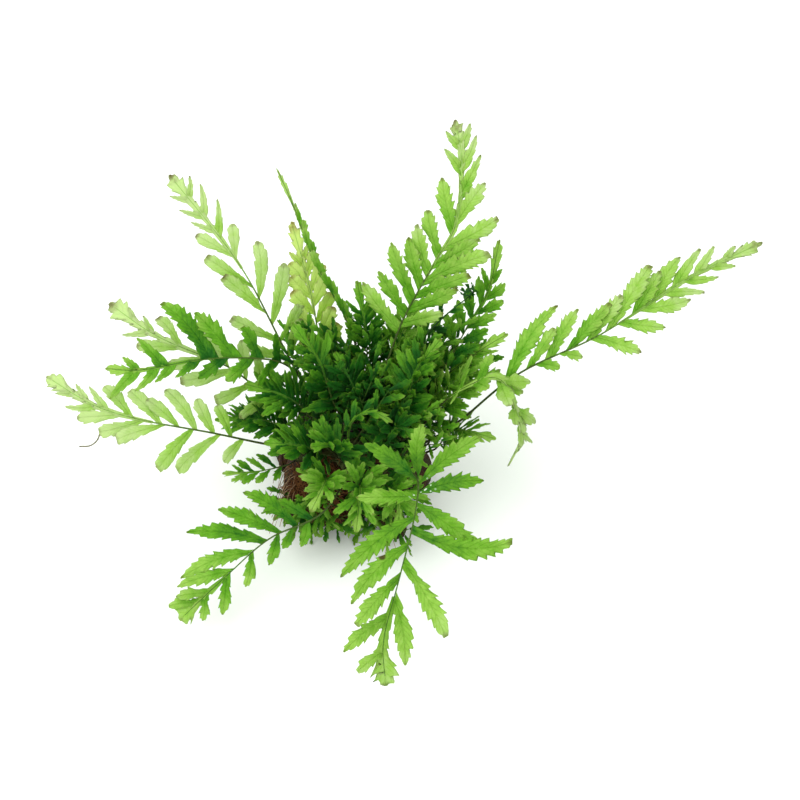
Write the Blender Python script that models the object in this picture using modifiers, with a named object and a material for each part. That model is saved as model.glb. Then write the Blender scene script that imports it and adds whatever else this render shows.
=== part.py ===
"""A small bolbitis fern growing on a piece of driftwood.

Metres, +Z up. The origin is on the floor, under the middle of the driftwood. +X is the right of the plant
and +Y is its back. The wood lies along X on a flat worn underside. A creeping rhizome runs along its top.
Every frond is one piece: a bare stem that rises from the rhizome and goes on as a rib with leaflets.
"""

import math
from dataclasses import dataclass

import bmesh
import bpy
from mathutils import Matrix, Vector
from mathutils.bvhtree import BVHTree

GAP = 0.0003  # clearance between pieces that touch
UP = Vector((0.0, 0.0, 1.0))

# Driftwood
TRUNK_RINGS = (  # x, y, z of the middle, half depth, half height, turn in degrees
    (-0.044, -0.004, 0.013, 0.007, 0.008, 10),
    (-0.037, -0.006, 0.017, 0.020, 0.018, 22),
    (-0.023, -0.004, 0.019, 0.027, 0.023, -8),
    (-0.007, 0.000, 0.018, 0.025, 0.023, 6),
    (0.008, 0.003, 0.019, 0.023, 0.023, 20),
    (0.020, 0.004, 0.016, 0.020, 0.017, -12),
    (0.029, 0.006, 0.011, 0.013, 0.010, 8),
    (0.035, 0.008, 0.009, 0.006, 0.005, 0),
)
RING_CORNERS = (  # depth and height of a ring's corners, as shares of its half depth and half height
    (-1.15, -0.45), (-1.0, 0.45), (-0.55, 1.05), (0.1, 1.2),
    (0.7, 0.95), (1.15, 0.2), (0.95, -0.75), (-0.1, -1.2),
)
FRONT_BRANCH = (  # x, y, z, radius along the branch
    (0.008, -0.010, 0.018, 0.011),
    (0.010, -0.020, 0.015, 0.009),
    (0.013, -0.028, 0.011, 0.0065),
    (0.018, -0.033, 0.008, 0.0045),
)
BACK_BRANCH = (
    (-0.012, 0.012, 0.018, 0.012),
    (-0.019, 0.028, 0.017, 0.010),
    (-0.029, 0.039, 0.012, 0.0075),
    (-0.034, 0.049, 0.009, 0.0045),
)
LEFT_BRANCH = (
    (-0.029, 0.002, 0.016, 0.011),
    (-0.038, 0.011, 0.013, 0.009),
    (-0.044, 0.020, 0.009, 0.006),
    (-0.049, 0.028, 0.007, 0.004),
)
BRANCH_STEPS = 4
SINK = 0.0015  # how much of the wood's underside is worn flat

# Rhizomes, each a line of x and y over the wood, and the mat of roots
RHIZOME_RADIUS = 0.0028
RHIZOME_LINES = {
    "rhizome": ((-0.036, -0.010), (-0.022, -0.004), (-0.006, -0.003), (0.010, 0.002), (0.022, 0.002), (0.030, 0.005)),
    "back_rhizome": ((-0.004, 0.006), (0.000, 0.014), (0.008, 0.019)),
    "front_rhizome": ((-0.014, -0.012), (-0.009, -0.018), (0.003, -0.021)),
}
ROOT_MAT_THICKNESS = 0.0022
ROOT_MAT_X = (-0.041, -0.012)
ROOT_MAT_FRONT = -0.0145  # the mat lies nearer the front than this y

# Fronds
RIB = 0.0012  # thickness of the stem and the rib
RIB_HALF = 0.0007  # half their width
LAMINA = 0.0005  # thickness of a leaflet
FOOT_WIDTH = 0.0030  # how far a leaflet's foot runs along the rib
LEAST_STRETCH = 0.0029  # shorter bare stretches of rib are left to the leaflet's foot
STEM_STEPS = 4
SHORT_STEM = 0.024  # a stem up to this length has one step fewer
TIP_START = 0.45  # the blade's end swells at this share of the way past its last leaflet
LONG_OUTLINE = ((0.36, 1.0), (0.76, 0.84))  # a leaflet's widths: share of its length, share of its breadth
SHORT_OUTLINE = ((0.52, 1.0),)
LONG_LEAFLET = 0.0330  # leaflets from this length on have the long outline
END_LIFT = 24.0  # rise of the last leaflets out of the blade's plane, in degrees
TO_LIGHT = (0.0, -0.64, 0.77)  # where the light comes from
COIL_STEPS = 10
COIL_TURN = 480.0  # of a rolled tip, in degrees
COIL_SHRINK = 0.63  # how much of its radius a rolled tip loses
DROOP = 3.0  # fall of a leaflet below its straight line, per metre squared of its length


@dataclass(frozen=True)
class Frond:
    """One frond. Its rib passes the points of path, from the rhizome outwards.

    A leaflet is its share of the frond's length, its own length and its angle to the rib in degrees. A fourth
    number is its rise out of the blade's plane in degrees, where it isn't the blade's usual one. A fifth is how
    far it bends to the frond's tip, as a share of its length.
    """

    name: str
    line: str  # the rhizome that it grows from
    place: float  # where on that rhizome, from 0 to 1
    path: tuple
    left: tuple  # its leaflets, from the foot to the tip
    right: tuple
    breadth: float  # width of its longest leaflet
    roll: float = 0.0  # turn of the blade about its rib, in degrees
    lift: float = 20.0  # rise of its lowest leaflets out of the blade's plane, in degrees
    tilt: float = 22.0  # how far each leaflet's forward edge is turned up, in degrees
    to_light: bool = False  # whether its leaflets turn to the light instead
    coil: float = 0.0  # radius of the coiled tip, if it has one


def leaflets(first, pairs, longest, spread):
    """The left and right leaflets of a small frond, in alternate order and shorter towards the tip."""
    left = []
    right = []
    for k in range(pairs):
        for side, step in ((left, k), (right, k + 0.45)):
            past = step / pairs
            length = longest * (0.88 + 0.5 * past) * (1 - past) ** 0.5
            side.append((first + (0.86 - first) * past, length, spread - (spread - 34) * past))
    return {"left": tuple(left), "right": tuple(right)}


FRONDS = (
    Frond(
        "tall_back", "rhizome", 0.56,
        path=((0.010, 0.020, 0.076), (0.019, 0.035, 0.096), (0.036, 0.049, 0.126), (0.045, 0.060, 0.138),
              (0.048, 0.086, 0.158), (0.045, 0.104, 0.168)),
        left=((0.33, 0.032, 56), (0.38, 0.028, 54), (0.43, 0.036, 44), (0.48, 0.028, 42), (0.53, 0.027, 42),
              (0.59, 0.024, 46), (0.67, 0.028, 32), (0.85, 0.013, 40), (0.92, 0.010, 34)),
        right=((0.35, 0.024, 46), (0.40, 0.029, 36), (0.45, 0.032, 34), (0.50, 0.041, 30), (0.56, 0.027, 28),
               (0.62, 0.030, 28), (0.70, 0.024, 26), (0.78, 0.022, 22), (0.86, 0.017, 26), (0.92, 0.012, 34)),
        breadth=0.0100, roll=8,
    ),
    Frond(
        "long_right", "rhizome", 0.90,
        path=((0.045, -0.004, 0.060), (0.076, 0.009, 0.084), (0.117, 0.019, 0.103), (0.163, 0.049, 0.112),
              (0.202, 0.072, 0.114)),
        left=((0.26, 0.034, 42), (0.31, 0.048, 27), (0.37, 0.023, 32), (0.42, 0.029, 36), (0.47, 0.030, 30),
              (0.52, 0.027, 30), (0.57, 0.040, 30), (0.64, 0.025, 26), (0.70, 0.026, 28), (0.76, 0.024, 26),
              (0.82, 0.016, 30), (0.90, 0.008, 28)),
        right=((0.29, 0.012, 54), (0.39, 0.011, 36), (0.45, 0.010, 38), (0.53, 0.024, 50), (0.60, 0.021, 46),
               (0.66, 0.024, 24), (0.73, 0.018, 36), (0.79, 0.015, 28), (0.86, 0.011, 28)),
        breadth=0.0095, roll=22,
    ),
    Frond(
        "front_fall", "front_rhizome", 0.80,
        path=((0.014, -0.024, 0.054), (0.022, -0.038, 0.066), (0.026, -0.060, 0.086), (0.024, -0.090, 0.098),
              (0.017, -0.118, 0.089), (0.010, -0.136, 0.066), (0.011, -0.146, 0.044)),
        left=((0.33, 0.028, 86, 84), (0.38, 0.038, 88, 40), (0.44, 0.031, 88, 16), (0.50, 0.035, 62, -14),
              (0.58, 0.046, 94, 8, 0.17), (0.67, 0.036, 46, 8), (0.76, 0.029, 27, 24)),
        right=((0.35, 0.032, 88, 42), (0.46, 0.028, 76, 8), (0.55, 0.043, 42, -6), (0.63, 0.034, 32, 4),
               (0.71, 0.028, 33, 14), (0.81, 0.024, 46, 22), (0.90, 0.014, 64, 24)),
        breadth=0.0102, to_light=True,
    ),
    Frond(
        "left_reach", "rhizome", 0.10,
        path=((-0.043, -0.016, 0.058), (-0.077, -0.016, 0.069), (-0.111, -0.012, 0.074), (-0.134, -0.004, 0.075),
              (-0.162, 0.018, 0.072)),
        left=((0.26, 0.015, 62), (0.34, 0.028, 52), (0.43, 0.026, 62), (0.53, 0.023, 30), (0.60, 0.021, 30),
              (0.68, 0.020, 20), (0.77, 0.015, 26), (0.87, 0.009, 28)),
        right=((0.30, 0.017, 56), (0.36, 0.019, 54), (0.42, 0.025, 48), (0.48, 0.020, 34), (0.54, 0.022, 38),
               (0.64, 0.020, 38), (0.73, 0.014, 36), (0.81, 0.010, 30)),
        breadth=0.0080, roll=-28,
    ),
    Frond(
        "back_left", "rhizome", 0.36,
        path=((-0.027, 0.013, 0.060), (-0.039, 0.026, 0.078), (-0.063, 0.057, 0.112), (-0.101, 0.105, 0.130)),
        left=((0.30, 0.022, 46), (0.36, 0.028, 38), (0.46, 0.029, 22), (0.55, 0.027, 30), (0.66, 0.021, 26),
              (0.76, 0.012, 34), (0.82, 0.012, 38), (0.89, 0.010, 42)),
        right=((0.31, 0.020, 50), (0.36, 0.022, 54), (0.42, 0.034, 36), (0.51, 0.029, 28), (0.65, 0.017, 32),
               (0.74, 0.019, 38), (0.82, 0.017, 34), (0.90, 0.011, 44)),
        breadth=0.0078, roll=-20,
    ),
    Frond(
        "upper_left", "rhizome", 0.25,
        path=((-0.034, 0.006, 0.060), (-0.052, 0.008, 0.072), (-0.068, 0.016, 0.081), (-0.104, 0.028, 0.091),
              (-0.131, 0.050, 0.092)),
        left=((0.28, 0.019, 60), (0.36, 0.021, 62), (0.45, 0.026, 42), (0.56, 0.018, 36), (0.66, 0.021, 20),
              (0.79, 0.013, 42)),
        right=((0.31, 0.018, 50), (0.39, 0.020, 46), (0.47, 0.022, 38), (0.54, 0.022, 38), (0.66, 0.018, 32),
               (0.78, 0.009, 34), (0.87, 0.007, 34)),
        breadth=0.0074, roll=-28,
    ),
    Frond(
        "left_arch", "rhizome", 0.31,
        path=((-0.031, 0.015, 0.070), (-0.039, 0.015, 0.084), (-0.052, 0.010, 0.095), (-0.080, 0.005, 0.100),
              (-0.111, 0.005, 0.092), (-0.130, 0.013, 0.084)),
        left=((0.38, 0.017, 50), (0.48, 0.017, 42), (0.57, 0.015, 38), (0.66, 0.012, 36), (0.74, 0.011, 40),
              (0.80, 0.014, 48), (0.87, 0.018, 54)),
        right=((0.37, 0.016, 58), (0.45, 0.018, 60), (0.53, 0.032, 50), (0.61, 0.037, 62), (0.77, 0.019, 62),
               (0.87, 0.009, 46)),
        breadth=0.0094, roll=-34,
    ),
    Frond(
        "front_left", "front_rhizome", 0.36,
        path=((-0.011, -0.036, 0.053), (-0.022, -0.052, 0.049), (-0.047, -0.060, 0.040), (-0.070, -0.077, 0.029),
              (-0.091, -0.092, 0.016)),
        left=((0.36, 0.012, 54), (0.43, 0.010, 50), (0.49, 0.015, 52), (0.62, 0.016, 42), (0.75, 0.018, 46),
              (0.87, 0.011, 48)),
        right=((0.34, 0.020, 60), (0.41, 0.034, 64), (0.48, 0.033, 50), (0.55, 0.039, 50), (0.62, 0.035, 28),
               (0.73, 0.026, 32), (0.85, 0.015, 40), (0.91, 0.013, 42)),
        breadth=0.0096, roll=-22,
    ),
    Frond(
        "thin_back", "back_rhizome", 0.30,
        path=((-0.004, 0.030, 0.074), (-0.010, 0.038, 0.094), (-0.025, 0.054, 0.118), (-0.036, 0.076, 0.136),
              (-0.045, 0.097, 0.142)),
        **leaflets(0.32, 6, 0.015, 20),
        breadth=0.0046, roll=70, to_light=True,
    ),
    Frond(
        "pale_back", "back_rhizome", 0.05,
        path=((-0.016, 0.020, 0.060), (-0.023, 0.034, 0.080), (-0.029, 0.055, 0.102), (-0.038, 0.083, 0.118)),
        **leaflets(0.34, 7, 0.019, 40),
        breadth=0.0062, roll=-6,
    ),
    Frond(
        "young_curl", "rhizome", 0.68,
        path=((0.018, 0.018, 0.066), (0.028, 0.028, 0.087), (0.040, 0.034, 0.100), (0.053, 0.040, 0.109)),
        left=((0.50, 0.012, 58), (0.64, 0.011, 56), (0.78, 0.009, 50)),
        right=((0.57, 0.012, 58), (0.71, 0.010, 54), (0.86, 0.008, 46)),
        breadth=0.0050, coil=0.0034,
    ),
    Frond(
        "dark_back", "rhizome", 0.78,
        path=((0.034, 0.016, 0.066), (0.052, 0.038, 0.088), (0.062, 0.050, 0.100), (0.068, 0.070, 0.118)),
        **leaflets(0.40, 6, 0.020, 46),
        breadth=0.0076,
    ),
    Frond(
        "right_nod", "rhizome", 0.84,
        path=((0.038, 0.001, 0.070), (0.052, 0.001, 0.085), (0.066, 0.002, 0.089), (0.074, -0.004, 0.077),
              (0.078, -0.012, 0.062), (0.072, -0.019, 0.046)),
        left=((0.40, 0.020, 60), (0.50, 0.016, 60), (0.60, 0.014, 50), (0.74, 0.014, 40), (0.84, 0.012, 50)),
        right=((0.38, 0.018, 60), (0.48, 0.018, 62), (0.58, 0.017, 66), (0.72, 0.010, 60), (0.82, 0.010, 56)),
        breadth=0.0084,
    ),
    Frond(
        "right_short", "back_rhizome", 1.00,
        path=((0.034, 0.021, 0.061), (0.046, 0.023, 0.073), (0.058, 0.026, 0.083), (0.072, 0.031, 0.090)),
        **leaflets(0.30, 5, 0.023, 54),
        breadth=0.0088, roll=16,
    ),
    Frond(
        "left_small", "rhizome", 0.00,
        path=((-0.040, -0.022, 0.050), (-0.055, -0.026, 0.050), (-0.072, -0.024, 0.046)),
        **leaflets(0.36, 4, 0.013, 54),
        breadth=0.0046,
    ),
    Frond(
        "left_low", "rhizome", 0.15,
        path=((-0.036, -0.006, 0.058), (-0.052, -0.004, 0.064), (-0.076, -0.002, 0.062)),
        **leaflets(0.28, 5, 0.020, 56),
        breadth=0.0074,
    ),
    Frond(
        "left_middle", "rhizome", 0.21,
        path=((-0.030, 0.000, 0.066), (-0.040, 0.000, 0.078), (-0.060, 0.003, 0.084)),
        **leaflets(0.26, 4, 0.024, 56),
        breadth=0.0086, roll=-14, lift=26,
    ),
    Frond(
        "left_inner", "front_rhizome", 0.02,
        path=((-0.020, -0.020, 0.056), (-0.032, -0.022, 0.066), (-0.050, -0.021, 0.067)),
        **leaflets(0.26, 4, 0.021, 58),
        breadth=0.0080, roll=-10, lift=26,
    ),
    Frond(
        "crown_left", "front_rhizome", 0.24,
        path=((-0.013, -0.022, 0.058), (-0.016, -0.027, 0.072), (-0.026, -0.034, 0.080)),
        **leaflets(0.26, 4, 0.022, 62),
        breadth=0.0076, lift=36, to_light=True,
    ),
    Frond(
        "crown_right", "rhizome", 0.63,
        path=((0.012, -0.008, 0.058), (0.016, -0.014, 0.070), (0.026, -0.022, 0.074)),
        **leaflets(0.26, 4, 0.022, 60),
        breadth=0.0076, lift=36, to_light=True,
    ),
    Frond(
        "crown_back", "rhizome", 0.47,
        path=((-0.002, 0.002, 0.062), (-0.006, 0.008, 0.076), (-0.015, 0.019, 0.090)),
        **leaflets(0.26, 4, 0.023, 56),
        breadth=0.0078, lift=26,
    ),
    Frond(
        "crown_high", "rhizome", 0.41,
        path=((-0.016, 0.004, 0.068), (-0.023, 0.012, 0.090), (-0.036, 0.024, 0.106)),
        **leaflets(0.28, 4, 0.023, 52),
        breadth=0.0078, to_light=True,
    ),
    Frond(
        "crown_deep", "rhizome", 0.72,
        path=((0.020, 0.002, 0.066), (0.026, 0.010, 0.086), (0.038, 0.018, 0.101)),
        **leaflets(0.28, 4, 0.023, 52),
        breadth=0.0080, to_light=True,
    ),
    Frond(
        "centre_back", "back_rhizome", 0.55,
        path=((0.001, 0.026, 0.066), (0.000, 0.036, 0.088), (-0.004, 0.048, 0.111)),
        **leaflets(0.30, 5, 0.021, 48),
        breadth=0.0076,
    ),
    Frond(
        "centre_right", "back_rhizome", 0.82,
        path=((0.012, 0.028, 0.066), (0.018, 0.034, 0.084), (0.026, 0.046, 0.099)),
        **leaflets(0.28, 5, 0.021, 52),
        breadth=0.0074,
    ),
    Frond(
        "right_middle", "rhizome", 0.95,
        path=((0.040, 0.004, 0.064), (0.049, 0.007, 0.076), (0.068, 0.014, 0.082)),
        **leaflets(0.28, 4, 0.023, 54),
        breadth=0.0078, lift=24,
    ),
    Frond(
        "right_low", "rhizome", 1.00,
        path=((0.044, 0.000, 0.050), (0.052, -0.005, 0.056), (0.066, -0.009, 0.055)),
        **leaflets(0.26, 4, 0.019, 56),
        breadth=0.0074,
    ),
    Frond(
        "centre_hook", "front_rhizome", 0.48,
        path=((-0.008, -0.020, 0.064), (-0.006, -0.018, 0.080), (0.004, -0.018, 0.087), (0.014, -0.022, 0.084)),
        **leaflets(0.46, 3, 0.013, 50),
        breadth=0.0060, to_light=True,
    ),
    Frond(
        "front_inner", "front_rhizome", 0.13,
        path=((-0.019, -0.030, 0.052), (-0.020, -0.043, 0.061), (-0.026, -0.056, 0.057)),
        **leaflets(0.28, 4, 0.020, 64),
        breadth=0.0076, lift=40, to_light=True,
    ),
    Frond(
        "front_middle", "front_rhizome", 0.60,
        path=((-0.003, -0.034, 0.052), (-0.002, -0.046, 0.059), (-0.004, -0.062, 0.048)),
        **leaflets(0.28, 4, 0.022, 70),
        breadth=0.0078, lift=48, to_light=True,
    ),
    Frond(
        "front_right", "front_rhizome", 1.00,
        path=((0.009, -0.029, 0.044), (0.016, -0.039, 0.047), (0.017, -0.054, 0.040)),
        **leaflets(0.28, 4, 0.021, 70),
        breadth=0.0076, lift=44, to_light=True,
    ),
)

# Ways for a leaflet to turn aside where another piece is in its way: lift in degrees, share of its length
WAYS = (
    (0, 1.0), (14, 1.0), (-14, 1.0), (28, 1.0), (-28, 1.0), (0, 0.8), (20, 0.8), (-20, 0.8), (42, 0.9),
    (0, 0.6), (24, 0.6), (-24, 0.6), (48, 0.6), (-40, 0.6), (0, 0.45), (30, 0.45), (-30, 0.45),
)


def material(name, colour, roughness):
    """A Principled material of one colour that isn't metal."""
    made = bpy.data.materials.new(name)
    made.use_nodes = True
    shader = made.node_tree.nodes["Principled BSDF"]
    shader.inputs["Base Color"].default_value = (*colour, 1.0)
    shader.inputs["Roughness"].default_value = roughness
    shader.inputs["Metallic"].default_value = 0.0
    return made


def add_object(name, mesh, collection, surface=None):
    """An object for the mesh, in the collection, with its material."""
    made = bpy.data.objects.new(name, mesh)
    collection.objects.link(made)
    if surface:
        mesh.materials.clear()
        mesh.materials.append(surface)
    return made


def as_mesh(source, name, collection, surface):
    """Swaps an object for the mesh that its curve and modifiers make, with its doubles merged."""
    graph = bpy.context.evaluated_depsgraph_get()
    mesh = bpy.data.meshes.new_from_object(source.evaluated_get(graph))
    shape = bmesh.new()
    shape.from_mesh(mesh)
    bmesh.ops.remove_doubles(shape, verts=shape.verts, dist=0.00001)
    bmesh.ops.recalc_face_normals(shape, faces=shape.faces)
    shape.to_mesh(mesh)
    shape.free()
    bpy.data.objects.remove(source)
    return add_object(name, mesh, collection, surface)


def smooth_path(points, count):
    """count + 1 places, evenly spaced, on a smooth curve through the points."""
    knots = [Vector(p) for p in points]
    slopes = []
    for i in range(len(knots)):
        before = knots[max(i - 1, 0)]
        after = knots[min(i + 1, len(knots) - 1)]
        slopes.append((after - before).normalized())
    fine = []
    for i in range(len(knots) - 1):
        span = (knots[i + 1] - knots[i]).length
        for k in range(24):
            t = k / 24
            a = (1 + 2 * t) * (1 - t) ** 2
            b = t * (1 - t) ** 2 * span
            c = t * t * (3 - 2 * t)
            d = t * t * (t - 1) * span
            fine.append(knots[i] * a + slopes[i] * b + knots[i + 1] * c + slopes[i + 1] * d)
    fine.append(knots[-1])
    along = [0.0]
    for i in range(1, len(fine)):
        along.append(along[-1] + (fine[i] - fine[i - 1]).length)
    places = []
    i = 0
    for k in range(count + 1):
        wanted = along[-1] * k / count
        while i < len(fine) - 2 and along[i + 1] < wanted:
            i += 1
        share = (wanted - along[i]) / max(along[i + 1] - along[i], 1e-9)
        places.append(fine[i].lerp(fine[i + 1], min(max(share, 0.0), 1.0)))
    return places


def tube(name, places, radii, resolution, collection):
    """A curve object with filled caps along the places, whose bevel follows the radii."""
    curve = bpy.data.curves.new(name, "CURVE")
    curve.dimensions = "3D"
    curve.bevel_depth = 1.0
    curve.bevel_resolution = resolution
    curve.use_fill_caps = True
    line = curve.splines.new("POLY")
    line.points.add(len(places) - 1)
    for point, place, radius in zip(line.points, places, radii):
        point.co = (*place, 1.0)
        point.radius = radius
    made = bpy.data.objects.new(name, curve)
    collection.objects.link(made)
    return made


def grown(source, by, collection):
    """A cutter: the source's mesh with its surface moved outwards."""
    mesh = source.data.copy()
    normals = [v.normal.copy() for v in mesh.vertices]
    for vertex, normal in zip(mesh.vertices, normals):
        vertex.co += normal * by
    made = add_object(source.name + "_cutter", mesh, collection)
    made.hide_render = True
    made.display_type = "WIRE"
    return made


def flatten_underside(piece):
    """Cuts a wood piece off flat at the worn level, closes the cut and sets the piece down on the floor."""
    shape = bmesh.new()
    shape.from_mesh(piece.data)
    geometry = shape.verts[:] + shape.edges[:] + shape.faces[:]
    sliced = bmesh.ops.bisect_plane(
        shape, geom=geometry, dist=0.0000001, plane_co=(0, 0, SINK), plane_no=(0, 0, 1), clear_inner=True
    )
    rim = [e for e in sliced["geom_cut"] if isinstance(e, bmesh.types.BMEdge)]
    bmesh.ops.contextual_create(shape, geom=rim)
    bmesh.ops.recalc_face_normals(shape, faces=shape.faces)
    bmesh.ops.translate(shape, verts=shape.verts, vec=(0, 0, -SINK))
    bmesh.ops.triangulate(shape, faces=shape.faces)
    shape.to_mesh(piece.data)
    shape.free()


class Sheet:
    """A mesh that grows from edge to edge. A row is the pair of vertices at an edge's ends."""

    def __init__(self):
        """Starts empty."""
        self.shape = bmesh.new()

    def start(self, left, right):
        """The first row, at two places."""
        row = (self.shape.verts.new(left), self.shape.verts.new(right))
        self.shape.edges.new(row)
        return row

    def grow(self, row, left, right):
        """Extrudes a row's edge and moves the new row to two places."""
        made = bmesh.ops.extrude_edge_only(self.shape, edges=[self.shape.edges.get(row)])["geom"]
        fresh = [v for v in made if isinstance(v, bmesh.types.BMVert)]
        first = next(v for v in fresh if self.shape.edges.get((v, row[0])))
        second = next(v for v in fresh if v != first)
        first.co = left
        second.co = right
        return first, second

    def close(self, row, tip):
        """Ends a strip in a point."""
        ends = self.grow(row, row[0].co.copy(), row[1].co.copy())
        bmesh.ops.pointmerge(self.shape, verts=ends, merge_co=tip)

    def finish(self, name):
        """The mesh of the sheet, with its faces turned one way, and the places of its vertices kept in order."""
        bmesh.ops.recalc_face_normals(self.shape, faces=self.shape.faces)
        mesh = bpy.data.meshes.new(name)
        self.shape.to_mesh(mesh)
        self.shape.free()
        return mesh


def build_trunk(collection, surface):
    """The driftwood's trunk: a cage of turned rings, smoothed, and flat underneath."""
    shape = bmesh.new()
    rings = []
    for x, y, z, half_depth, half_height, turn in TRUNK_RINGS:
        place = Matrix.Translation((x, y, z)) @ Matrix.Rotation(math.radians(turn), 4, "X")
        made = bmesh.ops.create_circle(shape, segments=len(RING_CORNERS), radius=1.0)["verts"]
        for vertex, (depth, height) in zip(made, RING_CORNERS):
            vertex.co = place @ Vector((0.0, depth * half_depth, height * half_height))
        rings.append([shape.edges.get((made[i - 1], made[i])) for i in range(len(made))])
    bmesh.ops.bridge_loops(shape, edges=[edge for ring in rings for edge in ring])
    bmesh.ops.holes_fill(shape, edges=rings[0] + rings[-1])
    bmesh.ops.recalc_face_normals(shape, faces=shape.faces)
    mesh = bpy.data.meshes.new("rough_trunk")
    shape.to_mesh(mesh)
    shape.free()
    rough = add_object("rough_trunk", mesh, collection, surface)
    smooth = rough.modifiers.new("smooth", "SUBSURF")
    smooth.levels = 1
    smooth.render_levels = 1
    trunk = as_mesh(rough, "driftwood_trunk", collection, surface)
    flatten_underside(trunk)
    return trunk


def build_branch(name, line, trunk_cutter, collection, surface):
    """A branch of the driftwood, cut where it meets the trunk."""
    places = smooth_path([p[:3] for p in line], BRANCH_STEPS)
    radii = []
    for k in range(BRANCH_STEPS + 1):
        exact = k / BRANCH_STEPS * (len(line) - 1)
        i = min(int(exact), len(line) - 2)
        radii.append(line[i][3] + (line[i + 1][3] - line[i][3]) * (exact - i))
    rough = as_mesh(tube("rough_branch", places, radii, 1, collection), "rough_branch", collection, surface)
    flatten_underside(rough)
    cut = rough.modifiers.new("cut", "BOOLEAN")
    cut.operation = "DIFFERENCE"
    cut.object = trunk_cutter
    return as_mesh(rough, name, collection, surface)


def rest_above(wood, x, y, radius):
    """The lowest place over (x, y) where a round of that radius clears every wood piece."""
    place = Vector((x, y, 0.08))
    heights = [tree.ray_cast(place, -UP)[0] for tree in wood]
    place.z = max((hit.z for hit in heights if hit), default=0.03) + radius + GAP
    while min(tree.find_nearest(place)[3] for tree in wood) < radius + GAP * 1.5:
        place.z += 0.0003
    return place


def build_rhizome(name, line, wood, collection, surface):
    """A creeping rhizome on top of the wood, and the places along its middle."""
    count = 3 * (len(line) - 1)
    flat = smooth_path([(x, y, 0.0) for x, y in line], count)
    places = [rest_above(wood, p.x, p.y, RHIZOME_RADIUS * 1.1) for p in flat]
    inner = [(places[i - 1].z + places[i].z * 2 + places[i + 1].z) / 4 for i in range(1, count)]
    for place, level in zip(places[1:-1], inner):
        place.z = max(place.z, level)
    swelling = [0.5] + [0.94 + 0.12 * math.sin(2.4 * k) for k in range(1, count)] + [0.5]
    rough = tube("rough_rhizome", places, [RHIZOME_RADIUS * s for s in swelling], 1, collection)
    return as_mesh(rough, name, collection, surface), places


def build_root_mat(trunk, collection, surface):
    """The mat of roots on the left of the trunk's front: a skin that stands off the wood."""
    low, high = ROOT_MAT_X
    shape = bmesh.new()
    shape.from_mesh(trunk.data)
    away = []
    for face in shape.faces:
        middle = face.calc_center_median()
        if not (low < middle.x < high and middle.y < ROOT_MAT_FRONT and middle.z > 0.007):
            away.append(face)
    bmesh.ops.delete(shape, geom=away, context="FACES")
    for vertex in shape.verts:
        vertex.co += vertex.normal * GAP * 1.6
    mesh = bpy.data.meshes.new("root_mat")
    shape.to_mesh(mesh)
    shape.free()
    mat = add_object("root_mat", mesh, collection, surface)
    wall = mat.modifiers.new("wall", "SOLIDIFY")
    wall.thickness = ROOT_MAT_THICKNESS
    wall.offset = 1.0
    return mat


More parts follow.
